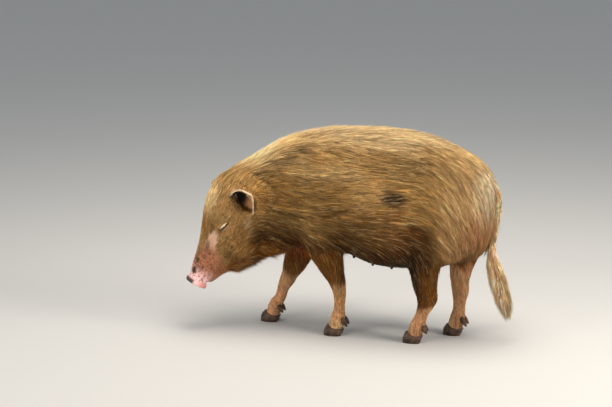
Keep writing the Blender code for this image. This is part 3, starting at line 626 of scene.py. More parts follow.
def folds(points):
    """How far the skin's folds and wrinkles stand out or in, in metres."""
    back, rise, side = head_place(points)
    face = fall(points[:, 0], -0.30, -0.25)
    over = climb(rise, -0.015, 0.02)
    snout = climb(back, 0.016, 0.03) * fall(back, 0.075, 0.115) * over * face
    rings = np.sin(2 * math.pi * (back + 0.002 * np.sin(side * 120)) / 0.0105) * 0.0012
    lips = np.exp(-((rise + 0.031 + 0.04 * back - 0.0075) / 0.0045) ** 2)
    lips *= climb(back, 0.006, 0.02) * fall(back, 0.070, 0.090) * face * 0.0016
    round_eye = np.zeros(len(points))
    for centre in eye_centres.values():
        away = np.linalg.norm(points - np.array(centre), axis=1)
        crease = np.sin((away - 0.0165) / 0.0048 * math.pi)
        round_eye += crease * np.exp(-((away - 0.021) / 0.0055) ** 2) * 0.0011
    neck = climb(points[:, 0], -0.30, -0.24) * fall(points[:, 0], -0.16, -0.10)
    neck *= fall(points[:, 2], 0.40, 0.52)
    creases = np.sin((points[:, 0] * 0.9 + points[:, 2] * 0.35) * 2 * math.pi / 0.042) * 0.0016
    return rings * snout + lips + round_eye + creases * neck


shapes = [trunk(), skull(), jaw()] + [leg(name) for name in LEGS]
for i, (centre, sizes, lean) in enumerate(MUSCLES):
    turn = Matrix.Rotation(math.radians(lean), 3, "Y")
    shapes.append(lump(f"muscle_{i}", Vector(centre), sizes, turn))
for side in (-1, 1):
    for back, rise, out, long, wide, deep in HEAD_LUMPS:
        shapes.append(lump("swelling", on_head(back, rise, side * out), (long, deep, wide), HEAD_AXES))
skin = joined(shapes, "skin")
remesh = skin.modifiers.new("One skin", "REMESH")
remesh.mode = "VOXEL"
remesh.voxel_size = SKIN_VOXEL
soften = skin.modifiers.new("Smooth", "SMOOTH")
soften.factor = 0.5
soften.iterations = SMOOTHING_ROUNDS
evaluated(skin)

flesh = surface_of(skin)
eye_centres = {side: eye_centre(flesh, side) for side in (-1, 1)}


def before_ears(vert):
    return vert.co.x < -0.25 and (vert.co - SNOUT).dot(-SNOUTWARD) < 0.27


# Finer faces on the head.
bm = bmesh.new()
bm.from_mesh(skin.data)
head_edges = [edge for edge in bm.edges if all(before_ears(v) for v in edge.verts)]
bmesh.ops.subdivide_edges(bm, edges=head_edges, cuts=1, use_grid_fill=True)
inner = [v for v in bm.verts if before_ears(v)]
smoothed(bm, inner, 3)
bm.normal_update()
bm.to_mesh(skin.data)
bm.free()

places = vectors(skin.data.vertices, "co")
outward = vectors(skin.data.vertex_normals, "vector")
depth = BARE_DEPTH + (COAT_DEPTH - BARE_DEPTH) * coat_share(places)
places += outward * (folds(places) - depth)[:, None]
skin.data.vertices.foreach_set("co", places.astype(np.float32).ravel())
skin.data.update()

# Ears, tail, snout disc, teats and lids join the skin. The ear hollows, nostrils, mouth and eye
# openings are cut.
EAR_SHAPE_FINE = [row[0] for row in between([(v,) for v in EAR_SHAPE], 3)]
FINE_SLIT = (0.0185, 0.012, 0.0032)
TEATS = [(x, side) for x in (-0.01, 0.05, 0.11, 0.17) for side in (-0.055, 0.055)]


def fine_hollow(name):
    """The funnel at the ear's root that leads into the head."""
    root, axis, half, open_way = ear_axes(name)
    inward = half.cross(open_way).normalized()
    axes = Matrix((half.normalized(), open_way, inward)).transposed()
    return lump("hollow", root + axis * 0.10 - open_way * 0.005, EAR_HOLLOW, axes, 48)


def fine_ear(name):
    """The cupped ear with finer rows, of even thickness and rounded off."""
    cup = EARS[name][3]
    root, axis, half, open_way = ear_axes(name)
    rows, columns = len(EAR_SHAPE_FINE), 27
    bend = EAR_BEND
    bm = bmesh.new()
    grid = []
    for i, size in enumerate(EAR_SHAPE_FINE):
        along = i / (rows - 1)
        line = []
        for j in range(columns):
            v = bend * (2 * j / (columns - 1) - 1)
            side = half * (size * math.sin(v) / math.sin(bend) + EAR_BOW * along * (1 - along))
            hollow = (math.cos(v) - math.cos(bend)) / (1 - math.cos(bend)) * (1 - 0.3 * along)
            ridges = 0.0007 * math.sin(v * 6 + along * 5) + 0.0010 * math.sin(v * 2.2 - along * 8)
            depth = open_way * (0.010 * along ** 3 - cup * size * hollow + ridges)
            line.append(bm.verts.new(root + axis * (along * 1.12 - 0.12) + side + depth))
        grid.append(line)
    for first, second in zip(grid, grid[1:]):
        for j in range(columns - 1):
            bm.faces.new((first[j], first[j + 1], second[j + 1], second[j]))
    made = object_from(bm, name)
    solid = made.modifiers.new("Thickness", "SOLIDIFY")
    solid.thickness = EAR_THICKNESS * 0.8
    solid.offset = 0
    round_off = made.modifiers.new("Round", "SUBSURF")
    round_off.levels = 1
    round_off.render_levels = 1
    return evaluated(made)


def fine_disc():
    """The snout disc with a rolled rim and a dished face."""
    wide, high = DISC
    rows = [
        (0.012, 0.78), (0.007, 0.90), (0.003, 0.975), (-0.001, 1.00), (-0.0045, 0.99),
        (-0.0070, 0.95), (-0.0078, 0.88), (-0.0070, 0.80), (-0.0062, 0.60), (-0.0060, 0.30),
    ]
    return tube_object("disc", [
        head_ring(back, 0.001, wide * s, high * s, high * s, 2.2, 72) for back, s in rows
    ])


def fine_nostril(side):
    """A hole that narrows and slants inwards."""
    out, rise, wide, high = NOSTRIL
    rows = [(-0.016, 1.12), (-0.0075, 1.02), (-0.004, 0.92), (0.002, 0.78), (0.008, 0.5), (0.011, 0.25)]
    return tube_object("nostril", [
        head_ring(back, rise, wide * s, high * s, high * s, 2, 36, side=side * (out - 0.2 * max(back, 0)))
        for back, s in rows
    ])


for name in EARS:
    boolean(skin, fine_hollow(name))
leaves = {name: fine_ear(name) for name in EARS}
ear_trees = {name: surface_of(leaf) for name, leaf in leaves.items()}
additions = [fine_disc()] + list(leaves.values())
additions.append(tube_object("tail", [
    (Vector((x, y, z)), Vector((0, 1, 0)), Vector((0.9, 0, 0.35)), r * 0.8, r * 0.8, r * 0.8, 2, 16)
    for x, y, z, r in between(TAIL, 4)
]))
tail_tree = surface_of(additions[-1])
for x, y in TEATS:
    foot, _, _, _ = flesh.ray_cast(Vector((x, y, 0.1)), Vector((0, 0, 1)))
    additions.append(lump("teat", foot - Vector((0, 0, 0.002)), (0.0045, 0.0045, 0.0070),
                          Matrix.Identity(3), 20))
for side in (-1, 1):
    additions.append(sphere("lid", eye_centres[side], EYE_RADIUS + LID))
fused(skin, additions)

# The lids run softly into the face.
bm = bmesh.new()
bm.from_mesh(skin.data)
near_eye = [
    vert for vert in bm.verts
    if any((vert.co - centre).length < EYE_RADIUS * 1.9 for centre in eye_centres.values())
]
smoothed(bm, near_eye, 4)
bm.to_mesh(skin.data)
bm.free()

for side in (-1, 1):
    boolean(skin, sphere("socket", eye_centres[side], EYE_RADIUS + 0.0003))
    tilt = Matrix.Rotation(side * SLIT_TILT, 3, RIGHTWARD)
    opening = lump("slit", eye_centres[side] + side * RIGHTWARD * EYE_RADIUS, FINE_SLIT,
                   tilt @ HEAD_AXES, 40)
    boolean(skin, opening)
    boolean(skin, fine_nostril(side))
    boolean(skin, mouth(side))
largest_only(skin)
skin.data.shade_smooth()

# Colours of hair and skin by place on the body, as sRGB. Some of them paint shade in creases and hollows, and
# highlights on lit edges.
TONES = {
    "ridge": "#c4a678", "back": "#b38c54", "flank": "#a88046", "low": "#5c340a", "belly": "#3a210a",
    "rump": "#d4ac74", "leg": "#90591a", "crest": "#f6d69e", "crease_shade": "#54360f", "face": "#a67f4a",
    "neck": "#a87c40", "cheek": "#966a32", "jaw": "#84480c", "pink": "#b87452", "snout": "#facac6",
    "pale_pink": "#fcd2bc", "grey": "#e2c4a0", "ear": "#eebe9e", "ear_cup_shade": "#cc9660", "rim": "#ffeac8",
    "ear_hair": "#f4cca6", "lid": "#94683c", "dark": "#120a06", "dark_brown": "#3a2410", "red": "#8a5226",
    "armpit": "#a8562c", "tail": "#ffc590", "shin": "#fab886", "bristle": "#f0d29c", "speckle": "#5e3220",
    "lips": "#dc8a84", "warm": "#ffb478", "band": "#86683c",
}
TONES = {name: np.array(linear(code)) for name, code in TONES.items()}

# Patches: middle, half sizes, tone and strength. Those of the head are in its own frame:
# behind the disc, above the axis and to the right.
PATCHES = [
    # A darker patch on the flank in front of the near thigh.
    ((0.186, -0.172, 0.463), (0.050, 0.060, 0.031), "dark_brown", 1.00),
    ((0.196, -0.165, 0.350), (0.026, 0.070, 0.100), "red", 0.50),
    ((0.258, -0.160, 0.325), (0.070, 0.080, 0.085), "low", 0.90),
    # Painted shade in the fold of the flank and belly in front of the near hind leg.
    ((0.235, -0.125, 0.262), (0.065, 0.080, 0.060), "belly", 0.70),
    ((0.060, -0.130, 0.290), (0.055, 0.070, 0.035), "belly", 0.70),
    ((0.030, -0.145, 0.335), (0.060, 0.050, 0.025), "low", 0.55),
    # Painted shade in the creases of the neck's left side.
    ((-0.120, -0.100, 0.592), (0.035, 0.060, 0.016), "crease_shade", 0.50),
    ((-0.155, -0.108, 0.566), (0.035, 0.060, 0.016), "crease_shade", 0.55),
    ((-0.191, -0.110, 0.536), (0.035, 0.060, 0.016), "crease_shade", 0.55),
    ((-0.230, -0.110, 0.506), (0.035, 0.060, 0.016), "crease_shade", 0.45),
    ((-0.180, -0.120, 0.440), (0.090, 0.070, 0.060), "neck", 0.75),
    ((-0.190, 0.130, 0.440), (0.090, 0.070, 0.060), "neck", 0.60),
    ((0.128, -0.165, 0.495), (0.085, 0.080, 0.050), "band", 0.18),
    ((0.392, -0.130, 0.385), (0.085, 0.080, 0.130), "tail", 0.34),
    ((-0.020, -0.130, 0.526), (0.140, 0.090, 0.036), "bristle", 0.18),
    ((0.090, -0.160, 0.398), (0.190, 0.085, 0.045), "low", 0.50),
    ((0.110, -0.170, 0.470), (0.070, 0.060, 0.060), "rump", 0.20),
    ((-0.165, 0.020, 0.246), (0.062, 0.090, 0.028), "armpit", 0.85),
    ((-0.224, -0.122, 0.420), (0.012, 0.040, 0.034), "armpit", 0.16),
    # A painted highlight along the lit rear edge of the rump, in the tail's and the rim's pale tones.
    ((0.470, -0.060, 0.450), (0.045, 0.110, 0.110), "tail", 0.70),
    ((0.462, -0.075, 0.500), (0.040, 0.100, 0.100), "rim", 0.40),
    ((0.440, -0.090, 0.350), (0.070, 0.110, 0.080), "pink", 0.40),
    ((0.212, -0.140, 0.556), (0.125, 0.090, 0.052), "band", 0.75),
    # The far foreleg a little darker.
    ((-0.176, 0.036, 0.205), (0.042, 0.045, 0.045), "dark_brown", 0.25),
    # The near foreleg's pink band made brighter: its own pink skin, with painted light where the trunk shades
    # it.
    ((0.006, -0.064, 0.130), (0.045, 0.045, 0.045), "warm", 0.95),
]
HEAD_PATCHES = [
    # Painted shade at the edge of the left ear's opening.
    ((0.284, 0.004, -0.066), (0.016, 0.022, 0.026), "dark", 0.85),
    ((0.322, 0.030, -0.072), (0.024, 0.030, 0.034), "ear", 0.60),
    ((0.245, 0.090, -0.020), (0.075, 0.030, 0.060), "crest", 0.50),
    ((0.262, -0.052, -0.090), (0.045, 0.030, 0.060), "grey", 1.00),
    ((0.262, -0.052, 0.090), (0.045, 0.030, 0.060), "grey", 0.35),
    ((0.185, 0.080, 0.000), (0.045, 0.030, 0.060), "cheek", 0.60),
    ((0.150, 0.060, 0.000), (0.035, 0.026, 0.050), "cheek", 0.60),
    # Painted shade in a crease by the left eye.
    ((0.215, 0.028, -0.070), (0.030, 0.018, 0.060), "crease_shade", 0.35),
    ((0.105, -0.070, -0.040), (0.040, 0.024, 0.060), "jaw", 0.80),
    ((0.150, -0.110, -0.030), (0.060, 0.030, 0.070), "jaw", 0.50),
]

# Dark spots of the muzzle, in the head's frame.
SPOTS = [
    ((0.067, 0.036, -0.020), (0.010, 0.012, 0.009), 0.90),
    ((0.030, 0.030, -0.015), (0.012, 0.012, 0.010), 1.00),
    ((0.048, 0.020, -0.032), (0.005, 0.006, 0.008), 0.70),
    ((0.082, 0.022, -0.040), (0.007, 0.005, 0.010), 0.55),
    ((0.095, 0.044, -0.006), (0.012, 0.012, 0.008), 0.55),
    ((0.052, 0.036, 0.014), (0.012, 0.012, 0.010), 0.80),
    ((0.030, 0.028, 0.022), (0.007, 0.010, 0.007), 0.60),
]

# How high the thinly haired, pinkish part of each leg reaches.
PINK_TOPS = {"foreleg_left": 0.170, "foreleg_right": 0.172, "hindleg_left": 0.118, "hindleg_right": 0.235}


def layered(tone, layers):
    """Named tones laid over one another, each with its own weight at every point."""
    for name, weight in layers:
        tone = tone + (TONES[name] - tone) * np.clip(weight, 0, 1)[:, None]
    return tone


def in_patch(points, middle, sizes, grain=0.022):
    """1 inside an ellipsoid with a soft, uneven edge."""
    away = np.sqrt((((points - np.array(middle)) / np.array(sizes)) ** 2).sum(1))
    return fall(away - 0.22 * waves(points, grain, 5), 0.55, 1.15)


def pink_leg(points):
    """1 on the lower legs, below each leg's own height."""
    found = np.zeros(len(points))
    for name, top in PINK_TOPS.items():
        foot_x, foot_y = FEET[name]
        mine = (np.abs(points[:, 0] - foot_x - 0.03) < 0.11) & (points[:, 1] * foot_y > 0)
        level = points[:, 2] + 0.012 * waves(points, 0.03, 13)
        found = np.where(mine, fall(level, top - 0.022, top + 0.012), found)
    return found


def muzzle_share(points):
    """1 on the bare pink muzzle, which reaches up towards the eye in a wedge."""
    back, rise, side = head_place(points)
    wedge = np.exp(-((rise - 0.030) / 0.021) ** 2) * climb(np.abs(side), 0.024, 0.050)
    edge = 0.104 + 0.062 * wedge - 0.30 * np.maximum(-rise - 0.015, 0)
    edge += 0.010 * waves(points, 0.03, 8) + 0.007 * waves(points, 0.009, 14)
    return face_share(points) * climb(edge - back, -0.008, 0.012)


def hair_tone(points):
    """The colour of the bristles that grow at these places, with painted shade and highlights laid in."""
    x, y, z = points.T
    back, rise, side = head_place(points)
    level = z + 0.022 * waves(points, 0.07, 1) + 0.010 * waves(points, 0.018, 2)
    near_crest = fall(x, -0.16, -0.08) * climb(z - 0.10 * np.abs(y), 0.49, 0.55)
    face = fall(x, -0.31, -0.25) * fall(back, 0.27, 0.34)
    cleft = fall(np.abs(y), 0.005, 0.016) * climb(x, 0.42, 0.445) * fall(z, 0.42, 0.46)
    local = np.stack([back, rise, side], 1)
    return layered(np.tile(TONES["flank"], (len(points), 1)), [
        ("back", climb(level, 0.47, 0.58)),
        ("ridge", climb(level, 0.575, 0.635)),
        ("rump", 0.8 * climb(x, 0.26, 0.40) * climb(level, 0.36, 0.46)),
        # A painted highlight: the rear edge of the rump is lighter.
        ("ridge", 0.8 * climb(x + 0.25 * (z - 0.45), 0.43, 0.49)),
        # Darker towards the bottom of the trunk: partly the coat's own darker colour low on the body, partly
        # painted shade under it.
        ("low", fall(level, 0.29, 0.39) * fall(x, 0.26, 0.36)),
        ("belly", fall(level, 0.225, 0.29) * fall(x, 0.25, 0.34)),
        ("leg", fall(level, 0.25, 0.31) * (climb(x, 0.24, 0.3) + fall(x, -0.02, 0.06))),
        ("crest", near_crest * (0.25 + 0.60 * fall(x, -0.27, -0.17))),
        ("shin", pink_leg(points) * 0.90),
        ("face", face),
        ("cheek", face * fall(rise, -0.06, 0.01) * climb(back, 0.12, 0.17)),
        *((name, share * in_patch(points, middle, sizes)) for middle, sizes, name, share in PATCHES),
        *((name, face * share * in_patch(local, middle, sizes))
          for middle, sizes, name, share in HEAD_PATCHES),
        ("low", cleft * 0.7),
        ("tail", tail_part(points) * fall(z, 0.45, 0.50)),
    ])


def muzzle_layers(points):
    """The pink snout with its speckles and spots, its pale front with a painted highlight of its wet sheen,
    the disc and the lips.
    """
    back, rise, side = head_place(points)
    local = np.stack([back, rise, side], 1)
    face = face_share(points)
    muzzle = muzzle_share(points)
    grain = climb(waves(points, 0.0042, 9), 0.15, 0.45) * climb(waves(points, 0.016, 10), -0.35, 0.2)
    grain *= fall(back, 0.100, 0.125)
    upper = climb(rise, -0.02, 0.02)
    stain = climb(waves(points, 0.020, 16), -0.10, 0.5) * climb(rise, 0.0, 0.035)
    away_from_eye = climb(back, 0.035, 0.07) * fall(back, 0.125, 0.150)
    disc = face * fall(back, 0.004, 0.010)
    slant = rise + 0.3 * side + 0.004 * waves(points, 0.01, 17)
    edge = face * fall(back, 0.006, 0.014) * climb(back, -0.006, -0.002)
    lip = fall(rise + 0.05 * back, -0.031, -0.026) * climb(back, 0.012, 0.02)
    return [
        ("pink", muzzle),
        ("pale_pink", muzzle * climb(back, 0.105, 0.135) * 0.80),
        # Paler towards the disc: partly the snout's own pale pink, partly a painted highlight of its wet
        # sheen.
        ("snout", muzzle * fall(back, 0.015, 0.060)),
        ("speckle", muzzle * grain * (0.45 + 0.45 * upper) * climb(back, 0.02, 0.05)),
        ("speckle", muzzle * stain * 0.75 * away_from_eye),
        *(("dark", muzzle * share * in_patch(local, middle, sizes, 0.007)) for middle, sizes, share in SPOTS),
        ("speckle", disc * fall(rise, -0.022, 0.004) * 0.35),
        ("dark", disc * climb(slant, 0.0, 0.014) * 0.92),
        ("lips", edge * fall(rise, -0.008, 0.012) * 0.8),
        ("jaw", face * lip * 0.7),
    ]


def ear_layers(points, normals, name):
    """The ear's pink leaf, painted shade in its cup and darker painted shade deep in its funnel, and its pale
    rim.
    """
    along, _, _ = ear_place(points, name)
    leaf = on_leaf(points, name)
    cup, share = in_cup(points, name)
    facing = climb(normals @ np.array(ear_axes(name)[3]), -0.1, 0.3)
    deep = fall(along, 0.15, 0.55) * (0.15 + 0.85 * climb(share, -0.32, 0.22))
    return [
        ("ear", leaf),
        # Painted shade inside the cup, darkest deep in the funnel.
        ("ear_cup_shade", cup * facing),
        ("dark", cup * facing * deep),
        ("rim", leaf * climb(np.abs(share), 0.88, 0.98) * 0.9),
    ]


def eye_layers(long_off, up_off):
    """The lid, painted shade in the crease around it, a painted highlight on the lower lid, the pale upper
    lid, and painted shade along the slit and in its front corner.
    """
    around = np.hypot(long_off / 0.024, up_off / 0.015)
    band = np.exp(-((up_off - 0.0056) / 0.0021) ** 2) * fall(np.abs(long_off - 0.004), 0.0075, 0.0125)
    near_slit = np.hypot(long_off / 0.0195, up_off / 0.0038)
    corner = np.hypot((long_off + 0.0175) / 0.0080, (up_off + 0.0018) / 0.0055)
    return [
        ("lid", fall(around, 0.80, 1.15) * 0.8),
        # Painted shade in the crease around the lid.
        ("crease_shade", np.exp(-((around - 0.95) / 0.16) ** 2) * 0.8),
        # A painted highlight on the lower lid.
        ("grey", fall(up_off, -0.005, -0.002) * fall(around, 0.6, 0.9) * 0.6),
        ("rim", band * 0.85),
        # Painted shade along the slit and in its front corner.
        ("dark", fall(near_slit, 0.85, 1.15) * 0.95),
        ("dark", fall(corner, 0.7, 1.2) * 0.95),
    ]


def skin_tone(points, normals):
    """The colour of the skin itself, which shows on the snout, the ears and the feet. Under the coat it is
    the hair's colour darkened, painted shade between the bristles.
    """
    layers = muzzle_layers(points)
    layers.append(("shin", pink_leg(points) * (0.80 + 0.3 * waves(points, 0.03, 12))))
    for name in EARS:
        layers += ear_layers(points, normals, name)
    for long_off, up_off in eye_places(points):
        layers += eye_layers(long_off, up_off)
    # Under the coat the skin takes the hair's colour darkened: painted shade between the bristles.
    return layered(hair_tone(points) * 0.55, layers)


def paint(obj, colours):
    """Stores one colour a vertex, linear, as the attribute the materials read."""
    layer = obj.data.attributes.new("tint", "FLOAT_COLOR", "POINT")
    flat = np.ones((len(colours), 4), np.float32)
    flat[:, :3] = np.clip(colours, 0, 1)
    layer.data.foreach_set("color", flat.ravel())


# Materials. One function adds a node with its settings and links.
def add_node(tree, kind, settings, links={}):
    node = tree.nodes.new(kind)
    for name, value in settings.items():
        if hasattr(node, name):
            setattr(node, name, value)
        else:
            node.inputs[name].default_value = value
    for name, socket in links.items():
        tree.links.new(socket, node.inputs[name])
    return node


def new_material(name, roughness, specular=0.5):
    made = bpy.data.materials.new(name)
    made.use_nodes = True
    shader = made.node_tree.nodes["Principled BSDF"]
    shader.inputs["Roughness"].default_value = roughness
    shader.inputs["Specular IOR Level"].default_value = specular
    return made, made.node_tree, shader


def bump(tree, shader, height, distance, strength):
    node = add_node(tree, "ShaderNodeBump", {"Distance": distance, "Strength": strength}, {"Height": height})
    tree.links.new(node.outputs["Normal"], shader.inputs["Normal"])


def pattern(tree, kind, settings):
    """A texture laid on the place in the model."""
    place = add_node(tree, "ShaderNodeTexCoord", {})
    return add_node(tree, kind, settings, {"Vector": place.outputs["Object"]}).outputs["Fac"]


def noise(tree, scale, detail):
    return pattern(tree, "ShaderNodeTexNoise", {"Scale": scale, "Detail": detail})


skin_material, tree, shader = new_material("pig skin", 0.62, 0.35)
tint = add_node(tree, "ShaderNodeAttribute", {"attribute_name": "tint"})
bare = add_node(tree, "ShaderNodeAttribute", {"attribute_name": "bare"})
sharp = add_node(tree, "ShaderNodeMapRange", {"From Min": 0.50, "From Max": 0.58, "To Max": 0.75},
                 {"Value": noise(tree, 120.0, 6.0)})
amount = add_node(tree, "ShaderNodeMath", {"operation": "MULTIPLY"},
                  {0: sharp.outputs[0], 1: bare.outputs["Fac"]})
speckled = add_node(tree, "ShaderNodeMixRGB", {"Color2": (*linear("#5c3020"), 1)},
                    {"Fac": amount.outputs[0], "Color1": tint.outputs["Color"]})
tree.links.new(speckled.outputs["Color"], shader.inputs["Base Color"])
shader.inputs["Subsurface Weight"].default_value = 0.08
shader.inputs["Subsurface Radius"].default_value = (0.006, 0.003, 0.002)
bump(tree, shader, noise(tree, 420.0, 4.0), 0.0006, 0.6)

hair_material, tree, shader = new_material("bristles", 0.55, 0.18)
tint = add_node(tree, "ShaderNodeAttribute", {"attribute_name": "tint"})
tree.links.new(tint.outputs["Color"], shader.inputs["Base Color"])

eye_material, tree, shader = new_material("eye", 0.06, 0.8)
shader.inputs["Base Color"].default_value = (*linear("#1c120c"), 1)
shader.inputs["Coat Weight"].default_value = 0.6

horn_material, tree, shader = new_material("claw horn", 0.5, 0.4)
bands = pattern(tree, "ShaderNodeTexWave", {
    "bands_direction": "Z", "Scale": 95.0, "Distortion": 2.5, "Detail": 2.0, "Detail Scale": 1.2,
})
stains = add_node(tree, "ShaderNodeValToRGB", {}, {"Fac": noise(tree, 60.0, 5.0)})
for stop, position, code in zip(stains.color_ramp.elements, (0.35, 0.72), ("#2e2219", "#6b4f38")):
    stop.position = position
    stop.color = (*linear(code), 1)
tree.links.new(stains.outputs["Color"], shader.inputs["Base Color"])
bump(tree, shader, bands, 0.0005, 0.5)

# The skin's unwrap is used by the bristles too: each takes the colour place of its root.
skin_points = vectors(skin.data.vertices, "co")
paint(skin, skin_tone(skin_points, vectors(skin.data.vertex_normals, "vector")))
disc_back, _, _ = head_place(skin_points)
bare_share = muzzle_share(skin_points) * climb(disc_back, -0.002, 0.020)
bare_share *= 1 - 0.85 * climb(disc_back, 0.105, 0.130)
layer = skin.data.attributes.new("bare", "FLOAT", "POINT")
layer.data.foreach_set("value", bare_share.astype(np.float32))
skin.data.materials.clear()
skin.data.materials.append(skin_material)
bpy.context.view_layer.objects.active = skin
skin.select_set(True)
bpy.ops.object.mode_set(mode="EDIT")
bpy.ops.mesh.select_all(action="SELECT")
bpy.ops.uv.smart_project(angle_limit=math.radians(70), island_margin=0.002)
bpy.ops.object.mode_set(mode="OBJECT")
skin.data.uv_layers[0].name = "OFBake"
skin.select_set(False)

# The coat. Every bristle tuft is a thin spindle of six triangles: its root is under the skin,
# it lies along the body, and its tip gathers with its neighbours' tips. A tuft bends at the
# share BEND of its length. Clumps reach as far as CLUMP_REACH, and streaks as STREAK_REACH.
TUFTS = 236000
CLUMPS = 78000
WIDER = 1.0
BEND = 0.42
REST = 0.58
ROOT_DEPTH = 0.0012
CLUMP_REACH = 0.010
CLUMP_PULL = 0.68
LOOSE_PULL = 0.2
LONE_TUFTS = 0.10
STREAK_REACH = 0.055
MOST_IN_A_PIECE = 33000
tree_of_skin = surface_of(skin)

tri_count = len(skin.data.polygons)
corner = np.empty(tri_count * 3, np.int32)
skin.data.polygons.foreach_get("vertices", corner)
corner = corner.reshape(-1, 3)
uv_flat = np.empty(tri_count * 6, np.float32)
skin.data.uv_layers["OFBake"].data.foreach_get("uv", uv_flat)
uv_corner = uv_flat.reshape(-1, 3, 2)
a, b, c = (skin_points[corner[:, k]] for k in range(3))
face_normal = np.cross(b - a, c - a)
face_area = np.linalg.norm(face_normal, axis=1) / 2
face_normal /= np.maximum(face_area * 2, 1e-12)[:, None]
middle = (a + b + c) / 3


def beard_share(points):
    """1 under the jaw, where the bristles hang."""
    back, rise, side = head_place(points)
    face = fall(points[:, 0], -0.28, -0.22)
    low = fall(rise + 0.62 * back, -0.015, 0.012)
    return face * low * climb(back, 0.055, 0.09) * fall(back, 0.24, 0.34)


def growth(points, normals):
    """Length, half width, stand-off and density of the bristles at these places."""
    x, y, z = points.T
    back, rise, side = head_place(points)
    length = np.full(len(points), 0.052)
    wide = np.full(len(points), 0.00060)
    lift = np.full(len(points), 0.0058)
    face = face_share(points)
    crest = fall(x, -0.14, 0.02) * climb(z - 0.35 * np.abs(y), 0.46, 0.54) * (1 - face)
    ridge = climb(z, 0.60, 0.635)
    length += 0.024 * crest + 0.008 * ridge
    lift += 0.0085 * crest + 0.0055 * ridge
    low = fall(z, 0.12, 0.26) * (1 - face)
    snout = face * fall(back, 0.05, 0.25)
    for share, shorter, flatter, finer in (
        (low, 0.72, 0.72, 0.30), (face, 0.55, 0.42, 0.22), (snout, 0.62, 0.55, 0.30),
    ):
        length *= 1 - share * shorter
        lift *= 1 - share * flatter
        wide *= 1 - share * finer
    beard = beard_share(points)
    length += 0.026 * beard
    lift += 0.012 * beard
    thin = np.ones(len(points))
    thin *= 1 - muzzle_share(points) * (0.86 - 0.52 * climb(back, 0.105, 0.125))
    thin *= 1 - face * fall(back, 0.016, 0.030)
    thin *= 1 - 0.45 * fall(z, 0.10, 0.16) * (1 - face)
    for long_off, up_off in eye_places(points):
        around = np.sqrt((long_off / 0.020) ** 2 + (up_off / 0.0065) ** 2)
        thin *= climb(around, 0.95, 1.25)
        close = fall(np.hypot(long_off, up_off), 0.018, 0.036)
        length *= 1 - 0.62 * close
        lift *= 1 - 0.7 * close
    for name in EARS:
        along, across, depth = ear_place(points, name)
        leaf = on_leaf(points, name) > 0.5
        cup, share = in_cup(points, name)
        facing = cup & (normals @ np.array(ear_axes(name)[3]) > 0.1)
        length = np.where(leaf, 0.011, length)
        lift = np.where(leaf, 0.0016, lift)
        wide = np.where(leaf, 0.00040, wide)
        thin = np.where(leaf, np.where(facing, 0.30, 0.40), thin)
        thin = np.where(facing & ((along < 0.15) | (share > 0.1)), 0.0, thin)
        before = (along > -0.6) & (along < 0.6) & (np.abs(across) < 1.3) & (depth > -0.03) & (depth < 0.05)
        behind = (along > -0.3) & (along < 0.9) & (np.abs(across) < 1.2) & (depth <= -0.03) & (depth > -0.07)
        for close, longest, highest in ((before, 0.013, 0.0022), (behind, 0.026, 0.003)):
            length = np.where(close & ~leaf, np.minimum(length, longest), length)
            lift = np.where(close & ~leaf, np.minimum(lift, highest), lift)
    return length, wide * WIDER, lift, thin


rng = np.random.default_rng(11)
length, wide, lift, thin = growth(middle, face_normal)
weight = face_area * thin / (length * wide)
weight[middle[:, 2] < 0.027] = 0
for teat_x, teat_y in TEATS:
    weight[(np.hypot(middle[:, 0] - teat_x, middle[:, 1] - teat_y) < 0.009) & (middle[:, 2] < 0.3)] = 0
hairy_tail = tail_part(middle) & (middle[:, 2] < 0.36)
weight[hairy_tail] *= 5
chosen = rng.choice(tri_count, size=TUFTS, p=weight / weight.sum())
r1, r2 = np.sqrt(rng.random(TUFTS)), rng.random(TUFTS)
bary = np.stack([1 - r1, r1 * (1 - r2), r1 * r2], 1)
root = (skin_points[corner[chosen]] * bary[:, :, None]).sum(1)
root_uv = (uv_corner[chosen] * bary[:, :, None]).sum(1)
normal = face_normal[chosen]
length, wide, lift, thin = growth(root, normal)
on_tail = tail_part(root)
tuft_share = fall(root[:, 2], 0.28, 0.37)
room_below = np.maximum(root[:, 2] - rng.uniform(0.072, 0.120, TUFTS), 0.012)
length[on_tail] = np.minimum(0.026 + 0.042 * tuft_share, room_below)[on_tail]
lift[on_tail] = (0.0035 + 0.011 * tuft_share * climb(root[:, 2], 0.09, 0.17))[on_tail]
wide[on_tail] = 0.00075 * WIDER
length *= rng.uniform(0.7, 1.25, TUFTS)
wide *= rng.uniform(0.75, 1.25, TUFTS)
lift *= rng.uniform(0.35, 1.35, TUFTS)


def lie(points):
    """The direction in which the coat lies, as one vector for each place."""
    x, y, z = points.T
    back, rise, side = head_place(points)

    def blend(old, new, share):
        return old + (np.array(new) - old) * np.clip(share, 0, 1)[:, None]

    way = np.tile(np.array([1.0, 0, -0.12]), (len(points), 1))
    way[:, 2] -= 0.22 * waves(points, 0.16, 21)
    way = blend(way, [0.45, 0, -1.0], climb(x, 0.16, 0.42))
    way = blend(way, [0.15, 0, -1.0], fall(z, 0.25, 0.36))
    neck = fall(x, -0.30, -0.12)
    level = np.ones(len(points))
    up_neck = np.stack([0.85 * level, 0.2 * level, 0.25 * climb(z, 0.40, 0.50)], 1)
    way = way + (up_neck - way) * neck[:, None]
    face = fall(x, -0.27, -0.24) * fall(back, 0.30, 0.40)
    way = blend(way, -np.array(SNOUTWARD), face)
    cheek = face * fall(rise, -0.08, 0.0) * climb(back, 0.12, 0.2)
    way = blend(way, np.array([0.75, 0.1, -0.35]), cheek * 0.6)
    return blend(way, [0.45, 0.1, -0.8], beard_share(points) * 0.75)


